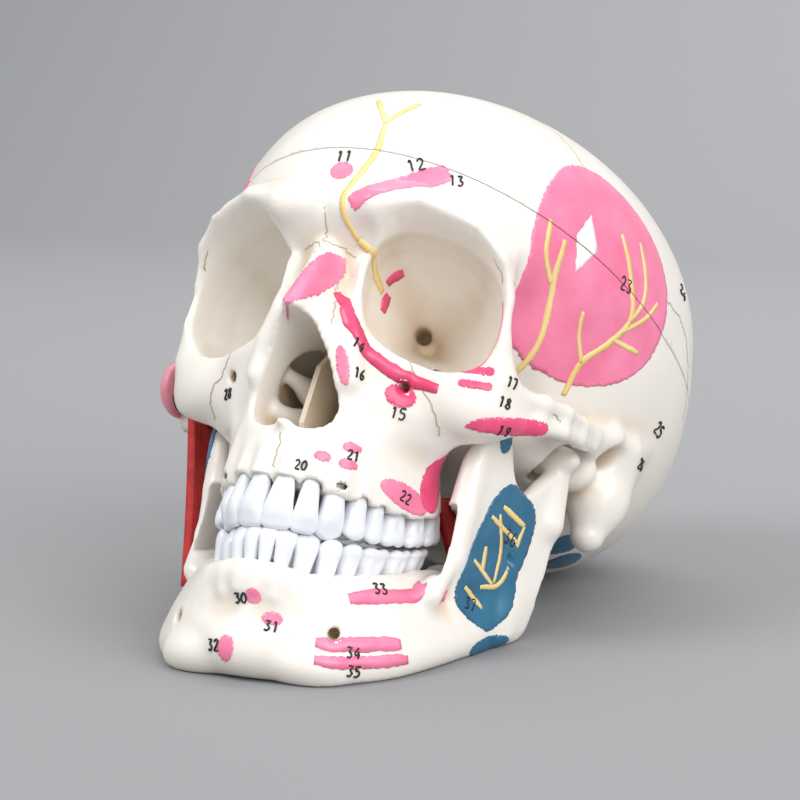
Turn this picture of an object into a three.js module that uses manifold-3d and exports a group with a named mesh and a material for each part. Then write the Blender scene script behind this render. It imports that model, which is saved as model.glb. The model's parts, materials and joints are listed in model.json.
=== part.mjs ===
// Life-size teaching model of a human skull: a hollow cranium whose skull cap lifts off on dowels,
// a lower jaw that swings at the jaw joints, thirty-two separate teeth, elastic straps that stand
// for chewing muscles, and a pad on the right cheek arch. Millimetres, +Z up.
//
// Everything is drawn in the anatomist's ear-eye frame, then laid back as the model rests on a
// table. In that frame the origin is midway between the ear canals, +X is the skull's left side,
// -Y its face and +Z its crown, and the lower rims of the eye sockets lie at z = 0.
import * as THREE from 'three';
import { LoftGeometry } from 'three/addons/geometries/LoftGeometry.js';
import { mergeVertices } from 'three/addons/utils/BufferGeometryUtils.js';
import Module from 'manifold-3d';

const wasm = await Module();
wasm.setup();

// ---- Driving dimensions -------------------------------------------------------------------
const REST_TILT = THREE.MathUtils.degToRad(26.4); // the face looks up by this much on a table
const EAR_HEIGHT = 50.5; // ear canals above the table
const EAR_OFFSET = 9.5; // ear canals behind the middle of the footprint
const GAP = 0.3; // between pieces that touch
const WALL = 5.5; // of the braincase
const CUT_FRONT = 58.5; // height of the saw cut at the forehead
const CUT_FRONT_Y = -90;
const CUT_SLOPE = -0.2; // the cut falls towards the back
const JAW_AXIS_Y = -14;
const JAW_AXIS_Z = -7.5;
const CONDYLE_X = 49;
const BITE_FRONT = -55.2; // height of the biting surface at the front teeth
const BITE_RISE = 0.004; // it curves up towards the back
const ARCH_BACK_Y = -43; // behind the last molars
const HALF_BITE_GAP = 0.55;
const ROOT = 6; // depth of a root in its socket
const CROWDING = 0.96; // teeth fill this share of their room
const UPPER_RIM = [[-110, -42.5], [-82, -43.3], [-62, -42.3], [-46, -37], [-30, -33]]; // of sockets, y and z
const STRAP_THICK = 3;
const HEAD = { radius: 3, high: 1.4 }; // of a strap screw
const SHANK = { radius: 1.2, deep: 6 };
const BOSS = { radius: 3.6, length: 6 }; // stud on the bone that a strap screw bites into
const DOWEL = { radius: 1.25, deep: 5, proud: 4.5 }; // depth below the saw cut and height over it
const EAR_HOLE_RADIUS = 3.6;
const SKIN_STEPS = 36; // points round a braincase section
const RING = 8; // points round a tooth
const FAR = 150; // beyond the skull in any direction

const cutHeight = (y) => CUT_FRONT + CUT_SLOPE * (y - CUT_FRONT_Y);
const biteHeight = (y) => BITE_FRONT + BITE_RISE * (y + 94) ** 2;
const floorHeight = (y) => (-EAR_HEIGHT + y * Math.sin(REST_TILT)) / Math.cos(REST_TILT);

// ---- Materials ----------------------------------------------------------------------------
const paint = (color, roughness) => new THREE.MeshStandardMaterial({ color, roughness, metalness: 0 });
const BONE = paint(0xf1ede6, 0.42);
const ENAMEL = paint(0xf0f0f4, 0.28);
const ELASTIC = paint(0xb3161a, 0.6);
const PAD = paint(0xef7f9c, 0.5);
const STEEL = new THREE.MeshStandardMaterial({ color: 0xb9bcc0, roughness: 0.3, metalness: 1 });

// ---- Solids -------------------------------------------------------------------------------
function solid(geometry) {
  const loose = geometry.index ? geometry.toNonIndexed() : geometry;
  const bare = new THREE.BufferGeometry();
  bare.setAttribute('position', loose.getAttribute('position'));
  const merged = mergeVertices(bare, 1e-3);
  return new wasm.Manifold(new wasm.Mesh({
    numProp: 3,
    vertProperties: merged.attributes.position.array,
    triVerts: new Uint32Array(merged.index.array),
  }));
}

function geometryOf(body) {
  const mesh = body.getMesh();
  const geometry = new THREE.BufferGeometry();
  geometry.setAttribute('position', new THREE.BufferAttribute(new Float32Array(mesh.vertProperties), 3));
  geometry.setIndex(new THREE.BufferAttribute(new Uint32Array(mesh.triVerts), 1));
  geometry.computeVertexNormals();
  return geometry;
}

const joined = (bodies) => bodies.reduce((all, body) => all.add(body));
const without = (body, cutters) => cutters.reduce((rest, cutter) => rest.subtract(cutter), body);

// An ellipsoid at a place, turned about X then Z, in degrees.
function blob([x, y, z], [rx, ry, rz], turnX = 0, turnZ = 0, steps = 16) {
  const geometry = new THREE.SphereGeometry(1, steps, Math.round(steps * 0.6));
  geometry.scale(rx, ry, rz);
  geometry.rotateX(THREE.MathUtils.degToRad(turnX));
  geometry.rotateZ(THREE.MathUtils.degToRad(turnZ));
  geometry.translate(x, y, z);
  return solid(geometry);
}

function block([x, y, z], [width, depth, height]) {
  return solid(new THREE.BoxGeometry(width, depth, height).translate(x, y, z));
}

// A round rod between two points.
function rod(from, to, radiusFrom, radiusTo = radiusFrom, sides = 10) {
  const start = new THREE.Vector3(...from);
  const along = new THREE.Vector3(...to).sub(start);
  const geometry = new THREE.CylinderGeometry(radiusTo, radiusFrom, along.length(), sides);
  geometry.translate(0, along.length() / 2, 0);
  geometry.applyQuaternion(new THREE.Quaternion().setFromUnitVectors(
    new THREE.Vector3(0, 1, 0), along.clone().normalize()));
  geometry.translate(...from);
  return solid(geometry);
}

// A skin through rings of points. The rings are turned round if they wind the wrong way.
function loft(rings) {
  const middle = (ring) => ring.reduce((sum, p) => sum.add(p), new THREE.Vector3()).divideScalar(ring.length);
  const facing = new THREE.Vector3();
  const [first, second] = rings;
  first.forEach((p, i) => facing.add(new THREE.Vector3().crossVectors(p, first[(i + 1) % first.length])));
  const onward = middle(second).sub(middle(first));
  const ordered = facing.dot(onward) > 0 ? rings : rings.map((ring) => [...ring].reverse());
  return solid(new LoftGeometry(ordered, { capStart: true, capEnd: true }));
}

// A slab whose outline is drawn in the side view (y, z), between two values of x.
function sidePlate(points, x0, x1) {
  const outline = new THREE.Shape(points.map(([y, z]) => new THREE.Vector2(y, z)));
  const geometry = new THREE.ExtrudeGeometry(outline, { depth: x1 - x0, bevelEnabled: false });
  const toSide = new THREE.Matrix4().makeBasis(
    new THREE.Vector3(0, 1, 0), new THREE.Vector3(0, 0, 1), new THREE.Vector3(1, 0, 0));
  return solid(geometry.applyMatrix4(toSide).translate(x0, 0, 0));
}

const smooth = (points, steps) => new THREE.SplineCurve(
  points.map(([a, b]) => new THREE.Vector2(a, b))).getPoints(steps).map((p) => [p.x, p.y]);
const mirrorX = (body) => body.mirror([1, 0, 0]);
const bothSides = (body) => [body, mirrorX(body)];

// All that lies under the table top, seen from the leaning head.
const underTable = () => block([0, 0, -EAR_HEIGHT - FAR / 2], [2 * FAR, 2 * FAR, FAR])
  .rotate([THREE.MathUtils.radToDeg(REST_TILT), 0, 0]);

// ---- Braincase ----------------------------------------------------------------------------
// Level sections: height, front, back, half width, and where the width is greatest.
const VAULT = [
  [-31, 28, 50, 14, 40],
  [-27, 12, 60, 32, 38],
  [-20, -8, 74, 48, 30],
  [-10, -28, 82, 58, 20],
  [0, -42, 88, 63, 14],
  [12, -62, 91, 66, 12],
  [25, -78, 92, 69, 12],
  [38, -91, 91.5, 70.5, 14],
  [50, -92, 89, 71, 15],
  [60, -90, 84, 70, 15],
  [72.5, -84, 74.5, 66, 14],
  [84, -74, 63.5, 58, 12],
  [94.5, -57, 48.5, 46, 8],
  [102.5, -38, 33, 31.5, 4],
  [107.6, -15, 14.5, 14, 0],
];
const CROWN = VAULT[VAULT.length - 1][0];
const SQUARENESS = 2.2; // 2 is an ellipse

function eggRing([z, front, back, half, middle]) {
  const ring = [];
  for (let i = 0; i < SKIN_STEPS; i++) {
    const angle = (i / SKIN_STEPS) * Math.PI * 2;
    const across = Math.sin(angle);
    const along = Math.cos(angle);
    const reach = along < 0 ? middle - front : back - middle;
    const power = 2 / SQUARENESS;
    ring.push(new THREE.Vector3(
      half * Math.sign(across) * Math.abs(across) ** power,
      middle + reach * Math.sign(along) * Math.abs(along) ** power,
      z));
  }
  return ring;
}

const vault = () => loft(VAULT.map(eggRing));

function cranialCavity() {
  const inner = VAULT.filter(([z]) => z > -25).map(([z, front, back, half, middle]) => {
    const slack = 1 + Math.max(0, (z - 78) / 18); // the roof leans, so its wall is measured aslant
    return [z, front + WALL * slack, back - WALL * slack, Math.max(half - WALL * slack, 4), middle];
  });
  inner[inner.length - 1][0] = CROWN - WALL;
  inner[inner.length - 2][0] = CROWN - WALL - 3.5;
  // The floor steps down from the front fossa to the middle one and the one behind.
  const fossae = sidePlate([
    [-100, 43], [-62, 40], [-48, 34], [-42, 14], [-34, -1], [-14, -2], [-5, 14], [3, 10], [8, -12],
    [20, -21], [55, -20], [100, 0], [100, 130], [-100, 130],
  ], -80, 80);
  return loft(inner.map(eggRing)).intersect(fossae);
}

// Everything above the saw cut, raised by half the gap.
const aboveCut = (raise) => sidePlate([
  [-FAR, cutHeight(-FAR) + raise], [FAR, cutHeight(FAR) + raise], [FAR, FAR], [-FAR, FAR],
], -FAR, FAR);

// ---- Face ---------------------------------------------------------------------------------
// Level sections of the face from the midline in front, round the left side, to the midline
// behind: height, then [x, y] points. The right side mirrors them.
const FACE = [
  [44, [0, -91.5], [14, -91], [28, -87], [42, -78], [48, -68], [44, -52], [0, -46]],
  [34, [0, -92.5], [14, -90.5], [28, -88], [43, -80], [51, -69.5], [45, -54], [0, -46]],
  [27, [0, -89], [10, -87], [26, -86], [43, -79], [52, -70], [47, -56], [0, -46]],
  [15, [0, -96], [7, -90], [22, -82], [40, -77], [52, -68], [49, -57], [0, -46]],
  [5, [0, -101], [10, -90], [24, -81], [42, -74], [55, -64], [52, -54], [0, -46]],
  [-4, [0, -97], [13, -88], [27, -80], [44, -72], [60, -59], [54, -50], [0, -44]],
  [-14, [0, -92], [13, -87], [27, -79], [42, -70], [58, -57], [50, -48], [0, -42]],
  [-22, [0, -92], [13, -87.5], [24, -80], [34, -71], [41, -60], [36, -48], [0, -40]],
  [-30, [0, -93], [12, -89.5], [22, -81], [28, -70], [32, -56], [30, -42], [0, -38]],
  [-46, [0, -92], [11, -90], [21, -81.5], [28.5, -70], [33, -56], [31, -42], [0, -38]],
];

function faceRing([z, ...half]) {
  const left = half.map(([x, y]) => new THREE.Vector3(x, y, z));
  const right = half.slice(1, -1).reverse().map(([x, y]) => new THREE.Vector3(-x, y, z));
  const around = new THREE.CatmullRomCurve3([...left, ...right], true, 'centripetal');
  const count = 3 * (left.length + right.length);
  return Array.from({ length: count }, (_, i) => around.getPoint(i / count));
}

// An eye socket on the left: a rounded-square funnel from the rim to its apex.
function orbit() {
  const rim = new THREE.Vector3(32, -77, 17.5);
  const apex = new THREE.Vector3(14, -41, 15);
  const inward = apex.clone().sub(rim);
  const widths = [[-0.45, 25, 21], [0, 20, 17.8], [0.35, 18.5, 16], [0.75, 10.5, 10], [1, 2.5, 2.5]];
  const steps = 20;
  return loft(widths.map(([t, wide, high]) => {
    const centre = rim.clone().addScaledVector(inward, t);
    return Array.from({ length: steps }, (_, i) => {
      const angle = (i / steps) * Math.PI * 2;
      const across = Math.cos(angle);
      const up = Math.sin(angle);
      const droop = -0.12 * across * wide; // the outer corner hangs lower
      return new THREE.Vector3(
        centre.x + wide * Math.sign(across) * Math.abs(across) ** 0.8,
        centre.y + 0.28 * wide * across,
        centre.z + high * Math.sign(up) * Math.abs(up) ** 0.8 + droop);
    });
  }));
}

// The pear-shaped nasal opening and the passage behind it.
function nasalPassage() {
  const half = smooth([[0, 7], [4.5, 4], [8.5, -6], [12, -17], [11, -23], [6, -25.5], [0, -25]], 18);
  const outline = new THREE.Shape([
    ...half.map(([x, z]) => new THREE.Vector2(x, z)),
    ...half.slice(1, -1).reverse().map(([x, z]) => new THREE.Vector2(-x, z)),
  ]);
  const passage = new THREE.ExtrudeGeometry(outline, { depth: 80, bevelEnabled: false });
  return solid(passage.rotateX(Math.PI / 2).translate(0, -30, 0));
}

// The thin wall that parts the nose, slotted in between its floor and its roof.
const septum = (growth = 0) => sidePlate([
  [-82 - growth, -22], [-79 - growth, -4], [-74, 1.5 + growth], [-44 + growth, 1.5 + growth],
  [-40 + growth, -28 - growth], [-78 - growth, -28 - growth],
], -0.8 - growth, 0.8 + growth);

const ARCH_SECTION = { high: 5.4, thick: 2.6 }; // half sizes

// The bar of bone from the cheek to the ear. With a growth it cuts room for itself.
function cheekArch(growth = 0) {
  const path = new THREE.CatmullRomCurve3([
    [55, -60, -9], [62, -50, -7], [65.5, -40, -5], [65.5, -27, -3.5], [62, -13, -0.5], [56, -3, 3],
  ].map((p) => new THREE.Vector3(...p)));
  const section = new THREE.Shape();
  section.absellipse(0, 0, ARCH_SECTION.high + growth, ARCH_SECTION.thick + growth, 0, Math.PI * 2);
  return solid(new THREE.ExtrudeGeometry(section, {
    extrudePath: path, steps: 12, curveSegments: 5, bevelEnabled: false }));
}

// The soft pad glued over the outside of the right cheek arch.
function masseterPad() {
  const outside = block([-FAR / 2 - 65, 0, 0], [FAR, FAR, FAR]);
  return blob([-65.5, -44, -5], [5.4, 9.5, 8.5], 0, 0, 20)
    .intersect(outside).subtract(mirrorX(cheekArch(GAP)));
}

// ---- Teeth --------------------------------------------------------------------------------
// One side of each arch from the midline: name, width along the arch, depth across it,
// crown height above the bone, and how thick the biting edge is as a share of the depth.
const UPPER = [
  ['central_incisor', 9.8, 7.2, 12.4, 0.3], ['lateral_incisor', 8, 6.6, 12.8, 0.3],
  ['canine', 8.6, 8.4, 14.4, 0.4], ['first_premolar', 7, 9.2, 11.4, 0.7],
  ['second_premolar', 6.6, 9.2, 10.4, 0.72], ['first_molar', 10.4, 11, 9, 0.82],
  ['second_molar', 9.2, 11, 9, 0.82], ['third_molar', 8.8, 10, 8.6, 0.8],
];
const LOWER = [
  ['central_incisor', 5.6, 6, 9.4, 0.3], ['lateral_incisor', 6.6, 6.4, 10.6, 0.3],
  ['canine', 7.6, 7.8, 12.4, 0.4], ['first_premolar', 6.9, 7.8, 11, 0.68],
  ['second_premolar', 7, 8.2, 9.2, 0.72], ['first_molar', 11, 10.4, 7.4, 0.84],
  ['second_molar', 10, 10.2, 6.6, 0.84], ['third_molar', 9.4, 9.8, 6.4, 0.82],
];
const ARCHES = {
  upper: { teeth: UPPER, half: 31.4, reach: 52, way: -1 },
  lower: { teeth: LOWER, half: 29.6, reach: 50.6, way: 1 },
};

// Where each tooth of one side stands: the middle of its outer face, the direction out of the
// mouth, and how tightly the arch bends there.
function stations({ teeth, half, reach }) {
  const at = (angle) => new THREE.Vector2(half * Math.sin(angle), ARCH_BACK_Y - reach * Math.cos(angle));
  const places = [];
  let angle = 0;
  for (const [, width] of teeth) {
    for (const part of ['middle', 'end']) {
      const here = at(angle);
      while (at(angle).distanceTo(here) < width / 2) angle += 0.002;
      if (part === 'middle') {
        const out = new THREE.Vector2(Math.sin(angle) / half, -Math.cos(angle) / reach).normalize();
        const speed = Math.hypot(half * Math.cos(angle), reach * Math.sin(angle));
        places.push({ at: at(angle), out, bend: (half * reach) / speed ** 3 });
      }
    }
  }
  return places;
}

// A tooth on the left side, from the tip of its root to its biting edge. Fattened by a growth it
// is the cutter for its own socket.
function tooth(arch, index, growth = 0) {
  const { teeth, way } = ARCHES[arch];
  const [, width, depth, crown, edge] = teeth[index];
  const { at, out, bend } = stations(ARCHES[arch])[index];
  const lean = index < 3 ? 0.1 : 0; // front teeth lean outwards at the edge
  const rings = [
    [-ROOT - growth, 0.45, 0.45], [0, 0.72, 0.74], [0.6 * crown, 1, 0.9], [crown + growth, 0.86, edge],
  ];
  return loft(rings.map(([height, share, thick]) => Array.from({ length: RING }, (_, i) => {
    const angle = ((i + 0.5) / RING) * Math.PI * 2;
    const across = (thick * depth / 2 + growth) * Math.sin(angle) + lean * (height - crown) * 0.6;
    const room = 1 - (depth / 2 - across) * bend; // a tooth narrows towards the tongue
    const along = (share * CROWDING * room * width / 2 + growth) * Math.cos(angle);
    const x = at.x + out.x * (across - depth / 2) - out.y * along;
    const y = at.y + out.y * (across - depth / 2) + out.x * along;
    return new THREE.Vector3(x, y, biteHeight(y) - way * (HALF_BITE_GAP + crown - height));
  })));
}

const sockets = (arch) => ARCHES[arch].teeth.flatMap((_, i) => bothSides(tooth(arch, i, GAP)));

// ---- Elastic straps, and the screws that hold their ends ----------------------------------
// A strap runs between two points. Across says which way its width lies, and each end's face is
// the side that its screw head sits on: 1 is away from the midline and -1 towards it.
const STRAPS = [
  { name: 'masseter_strap_right', from: [-57, -41, -5], to: [-50.5, -31, -62], across: [0, 0.93, 0.36],
    width: 20, upperFace: -1, lowerFace: 1 },
  { name: 'medial_pterygoid_strap_left', from: [25, -31.5, -27], to: [37, -23, -56],
    across: [-0.35, 0.85, 0.3], width: 12, upperFace: 1, lowerFace: -1 },
  { name: 'medial_pterygoid_strap_right', from: [-25, -31.5, -27], to: [-37, -23, -56],
    across: [0.35, 0.85, 0.3], width: 12, upperFace: 1, lowerFace: -1 },
];

// Width, thickness and length directions of a strap.
function strapFrame({ from, to, across }) {
  const w = new THREE.Vector3(...to).sub(new THREE.Vector3(...from)).normalize();
  const u = new THREE.Vector3(...across);
  u.addScaledVector(w, -w.dot(u)).normalize();
  return [u, new THREE.Vector3().crossVectors(w, u), w];
}

function strap(spec) {
  const length = new THREE.Vector3(...spec.from).distanceTo(new THREE.Vector3(...spec.to));
  const geometry = new THREE.BoxGeometry(spec.width, STRAP_THICK, length).translate(0, 0, length / 2);
  geometry.applyMatrix4(new THREE.Matrix4().makeBasis(...strapFrame(spec)));
  return solid(geometry.translate(...spec.from));
}

// A screw at a share of a strap's length: where its head sits and the way it is driven.
function strapScrew(spec, end, share, face) {
  const into = strapFrame(spec)[1];
  if (into.x * Math.sign(spec.from[0]) * face > 0) into.negate();
  const at = new THREE.Vector3(...spec.from).lerp(new THREE.Vector3(...spec.to), share);
  at.addScaledVector(into, -STRAP_THICK / 2 - GAP);
  return { name: `${spec.name.replace('_strap', '')}_${end}_screw`, end, at, into };
}

const SCREWS = STRAPS.flatMap((spec) => [
  strapScrew(spec, 'upper', 0.1, spec.upperFace), strapScrew(spec, 'lower', 0.9, spec.lowerFace)]);

// A pan-head screw, or with growth the cutter for the hole round it.
function screw({ at, into }, growth = 0) {
  const profile = [
    [0, -HEAD.high - growth], [HEAD.radius + growth, -HEAD.high - growth], [HEAD.radius + growth, growth],
    [SHANK.radius + growth, growth], [SHANK.radius + growth, SHANK.deep + growth], [0, SHANK.deep + growth],
  ].map(([radius, along]) => new THREE.Vector2(radius, along));
  const geometry = new THREE.LatheGeometry(profile, 12);
  geometry.applyQuaternion(new THREE.Quaternion().setFromUnitVectors(new THREE.Vector3(0, 1, 0), into));
  return solid(geometry.translate(...at.toArray()));
}

// A stud on the bone behind the strap, for the screw to bite into.
function boss({ at, into }) {
  const start = at.clone().addScaledVector(into, STRAP_THICK + 2 * GAP);
  return rod(start.toArray(), start.clone().addScaledVector(into, BOSS.length).toArray(), BOSS.radius);
}
const bosses = (end) => SCREWS.filter((spec) => spec.end === end).map(boss);

// ---- Lower jaw ----------------------------------------------------------------------------
// Stations from the back of the body round to the chin, on the left: lower border, then rim of
// the tooth sockets. A lower border point's last value is its height above the table, and what
// lies under the table is cut off flat.
const JAW_BODY = [
  [[41, -24, 1.2], [27, -33, -53]],
  [[40.5, -40, -0.6], [26, -45, -53]],
  [[37.5, -56, -0.6], [24.2, -57, -56.5]],
  [[33, -68, -0.6], [20.5, -70, -61]],
  [[25, -77.5, -0.6], [14, -82, -65.2]],
  [[13, -82, 0.6], [7, -88.2, -65]],
  [[0, -83, 1], [0, -90.2, -65]],
];
const JAW_THICK = [5.6, 6.6, 5.8]; // half thickness at the lower border, middle and rim

function jawBody() {
  const left = JAW_BODY.map(([low, high]) => [
    new THREE.Vector3(low[0], low[1], floorHeight(low[1]) + low[2]),
    new THREE.Vector3(...high)]);
  const flip = (p) => new THREE.Vector3(-p.x, p.y, p.z);
  const round = [...left, ...left.slice(0, -1).reverse().map((pair) => pair.map(flip))];
  const curves = [0, 1].map((k) => new THREE.CatmullRomCurve3(round.map((pair) => pair[k])));
  const steps = 24;
  const rings = [];
  for (let i = 0; i <= steps; i++) {
    const t = i / steps;
    const [low, high] = curves.map((curve) => curve.getPoint(t));
    const run = curves[0].getTangent(t).setZ(0).normalize();
    const outward = new THREE.Vector3(-run.y, run.x, 0).multiplyScalar(-1);
    const side = (share, thick) => low.clone().lerp(high, share).addScaledVector(outward, thick);
    const [foot, belly, lip] = JAW_THICK;
    rings.push([
      side(0, -foot * 0.55), side(0, foot * 0.55), side(0.12, foot), side(0.5, belly), side(0.93, lip),
      side(1, lip * 0.6), side(1, -lip * 0.6), side(0.93, -lip), side(0.5, -belly), side(0.12, -foot),
    ]);
  }
  return loft(rings);
}

function jawBranch() {
  const outline = smooth([
    [-44, -62], [-48, -46], [-48, -32], [-45.5, -18], [-42, -8.5], [-37, -13], [-29, -20.5], [-21, -15],
    [-17.5, -9], [-11, -9], [-9.5, -20], [-9, -36], [-10, -52], [-15.5, -62.5], [-28, -68.5],
    [-40, -74], [-44, -62],
  ], 40).slice(0, -1);
  const plate = new THREE.Shape(outline.map(([y, z]) => new THREE.Vector2(y, z)));
  const geometry = new THREE.ExtrudeGeometry(plate, {
    depth: 4.4, steps: 1, bevelThickness: 0.8, bevelSize: 0.8, bevelOffset: -0.8, bevelSegments: 1 });
  geometry.applyMatrix4(new THREE.Matrix4().makeBasis(
    new THREE.Vector3(0, 1, 0), new THREE.Vector3(0, 0, 1), new THREE.Vector3(1, 0, 0)));
  // The branch flares: wider at the top and at the back.
  const place = geometry.getAttribute('position');
  for (let i = 0; i < place.count; i++) {
    place.setX(i, place.getX(i) + 46 + 0.14 * (place.getZ(i) + 40) + 0.16 * (place.getY(i) + 20));
  }
  return solid(geometry);
}

function lowerJaw(cutters) {
  const condyle = blob([CONDYLE_X, JAW_AXIS_Y, JAW_AXIS_Z], [9.5, 4.6, 5], 0, -12, 14);
  const halves = [jawBranch(), condyle].flatMap(bothSides);
  const chin = blob([0, -84, -88], [15, 7.5, 8]);
  const tubercles = bothSides(blob([20, -80, -91], [8, 6.5, 6]));
  const bone = joined([jawBody(), ...halves, chin, ...tubercles, ...bosses('lower')]);
  return without(bone, [underTable(), ...sockets('lower'), ...cutters]);
}

// ---- Cap dowels ---------------------------------------------------------------------------
const DOWELS = [['front', 0, -87.9], ['left', 64.4, 38], ['right', -64.4, 38]];
const cutNormal = new THREE.Vector3(0, -CUT_SLOPE, 1).normalize();

function dowel([, x, y], growth = 0) {
  const at = new THREE.Vector3(x, y, cutHeight(y));
  return rod(
    at.clone().addScaledVector(cutNormal, -DOWEL.deep - growth).toArray(),
    at.clone().addScaledVector(cutNormal, DOWEL.proud + growth).toArray(),
    DOWEL.radius + growth, DOWEL.radius + growth, 12);
}

// ---- Cranium ------------------------------------------------------------------------------
function cranium() {
  const arches = bothSides(cheekArch());
  const mastoids = bothSides(blob([53, 11, -11], [9.5, 14, 19], -12));
  const condyles = bothSides(blob([15, 12, -26], [6, 11, 4.5], 0, 25, 12));
  const pterygoids = bothSides(sidePlate(
    [[-46, -14], [-34, -14], [-32, -30], [-36, -43], [-46, -40]], 18, 21.5));
  const skullBase = block([0, -26, -6], [30, 44, 30]);
  const bone = joined([
    vault(), loft(FACE.map(faceRing)), ...arches, ...mastoids, ...condyles, ...pterygoids, skullBase,
    ...bosses('upper')]);
  const rimTrim = sidePlate([...UPPER_RIM, [-30, -FAR], [-110, -FAR]], -60, 60);
  const palate = blob([0, -51, -46], [20, 33, 14]);
  const foramen = blob([0, 20, -26], [15.5, 18, 14]);
  const jawSockets = bothSides(blob([CONDYLE_X, JAW_AXIS_Y, JAW_AXIS_Z], [13, 8.5, 8.5], 0, -12, 14));
  const earHoles = bothSides(rod([44, 0, -1], [80, 0, 1], EAR_HOLE_RADIUS));
  return without(bone, [
    rimTrim, cranialCavity(), ...bothSides(orbit()), nasalPassage(), septum(GAP), palate, foramen,
    ...jawSockets, ...earHoles, underTable(), ...sockets('upper')]);
}

// ---- Assembly -----------------------------------------------------------------------------
const head = new THREE.Group();
head.rotation.x = -REST_TILT;
head.position.set(0, EAR_OFFSET, EAR_HEIGHT);

function add(name, body, material) {
  const mesh = new THREE.Mesh(geometryOf(body), material);
  mesh.name = name;
  head.add(mesh);
}

const whole = cranium();
const dowelHoles = DOWELS.map((spec) => dowel(spec, GAP));
const screwHoles = SCREWS.map((spec) => screw(spec, GAP));
add('skull_cap', without(whole.intersect(aboveCut(GAP / 2)), dowelHoles), BONE);
add('cranium', without(whole.subtract(aboveCut(-GAP / 2)), [...dowelHoles, ...screwHoles]), BONE);
add('lower_jaw', lowerJaw(screwHoles), BONE);
for (const arch of ['upper', 'lower']) {
  ARCHES[arch].teeth.forEach(([kind], i) => {
    const left = tooth(arch, i);
    add(`${arch}_${kind}_left`, left, ENAMEL);
    add(`${arch}_${kind}_right`, mirrorX(left), ENAMEL);
  });
}
add('nasal_septum', septum(), BONE);
for (const spec of DOWELS) add(`cap_dowel_${spec[0]}`, dowel(spec), STEEL);
STRAPS.forEach((spec) => add(spec.name, without(strap(spec), screwHoles), ELASTIC));
add('masseter_pad_right', masseterPad(), PAD);
SCREWS.forEach((spec) => add(spec.name, screw(spec), STEEL));

const part = new THREE.Group();
part.add(head);
export default part;
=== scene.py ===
"""A life-size painted teaching skull: glossy ivory bone, bluish teeth, muscle areas, nerves and straps.

The bones are sculpted as distance fields in the anatomist's ear-eye frame, in millimetres: the
origin is midway between the ear canals, +X is the skull's left, -Y its face, +Z its crown. Each
field covers the left half and is mirrored. The meshes are then laid into the CAD frame, which
says where that frame stands and how far it leans back.
"""
import json
import math
import random

import bmesh
import bpy
import numpy as np
from mathutils import Matrix, Vector
from mathutils.bvhtree import BVHTree
from mathutils.geometry import delaunay_2d_cdt
from mathutils.kdtree import KDTree


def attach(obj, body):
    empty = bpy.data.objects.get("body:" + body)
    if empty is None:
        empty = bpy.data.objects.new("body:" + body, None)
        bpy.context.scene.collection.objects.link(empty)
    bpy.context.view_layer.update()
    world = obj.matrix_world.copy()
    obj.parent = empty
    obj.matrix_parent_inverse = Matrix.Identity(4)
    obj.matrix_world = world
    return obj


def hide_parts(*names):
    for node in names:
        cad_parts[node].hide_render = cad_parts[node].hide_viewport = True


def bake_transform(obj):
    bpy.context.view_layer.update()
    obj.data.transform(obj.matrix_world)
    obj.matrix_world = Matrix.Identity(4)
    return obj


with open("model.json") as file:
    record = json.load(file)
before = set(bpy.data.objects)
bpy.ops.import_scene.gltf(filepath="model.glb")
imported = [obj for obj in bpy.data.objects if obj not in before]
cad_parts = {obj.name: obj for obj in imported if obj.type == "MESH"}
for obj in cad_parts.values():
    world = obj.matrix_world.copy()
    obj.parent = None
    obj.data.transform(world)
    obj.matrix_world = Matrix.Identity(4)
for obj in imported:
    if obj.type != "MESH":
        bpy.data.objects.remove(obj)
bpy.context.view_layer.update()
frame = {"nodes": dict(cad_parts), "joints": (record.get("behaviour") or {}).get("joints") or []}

# ---- The frame ------------------------------------------------------------------------------
MM = 0.001
CUT_FRONT = 58.5  # height of the saw cut at the forehead
CUT_FRONT_Y = -90.0
CUT_SLOPE = -0.2
SAW_GAP = 0.3
JAW_AXIS = Vector((0, -14, -7.5))
WALL = 5.5
THIN_WALL = 2.6  # least thickness of the bone round the brain
BITE_FRONT = -55.2
BITE_RISE = 0.004
ARCH_BACK_Y = -43.0

JOINTS = {joint["name"]: joint for joint in frame["joints"]}
LIFT = Vector(JOINTS["cap_lift"]["axis"])
TILT = math.atan2(LIFT.y, LIFT.z) - math.atan(-CUT_SLOPE)
LEAN = Matrix.Rotation(-TILT, 4, "X")
EARS = Vector(JOINTS["jaw_open"]["pos_m"]) - LEAN @ (JAW_AXIS * MM)
TO_WORLD = Matrix.Translation(EARS) @ LEAN @ Matrix.Scale(MM, 4)
TABLE_NORMAL = LEAN.inverted() @ Vector((0, 0, 1))
EAR_HEIGHT = EARS.z / MM
GRID = 0.95
FAR = 50.0
MOST_FACES = 240000  # of the cranium and its cap together
JAW_FACES = 110000


def bite_height(y):
    return BITE_FRONT + BITE_RISE * (y + 94) ** 2


# ---- Curves ---------------------------------------------------------------------------------
def spline(points, per_span=8, closed=False):
    """A smooth Catmull-Rom curve through points, as an array."""
    p = np.asarray(points, float)
    n = len(p)
    if closed:
        padded = np.vstack([p[-1:], p, p[:2]])
        spans = n
    else:
        padded = np.vstack([2 * p[0] - p[1], p, 2 * p[-1] - p[-2]])
        spans = n - 1
    t = np.linspace(0, 1, per_span, endpoint=False)[:, None]
    out = []
    for i in range(spans):
        a, b, c, d = padded[i:i + 4]
        out.append(0.5 * (2 * b + (c - a) * t + (2 * a - 5 * b + 4 * c - d) * t**2
                          + (3 * b - a - 3 * c + d) * t**3))
    if not closed:
        out.append(p[-1:])
    return np.vstack(out)


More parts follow.
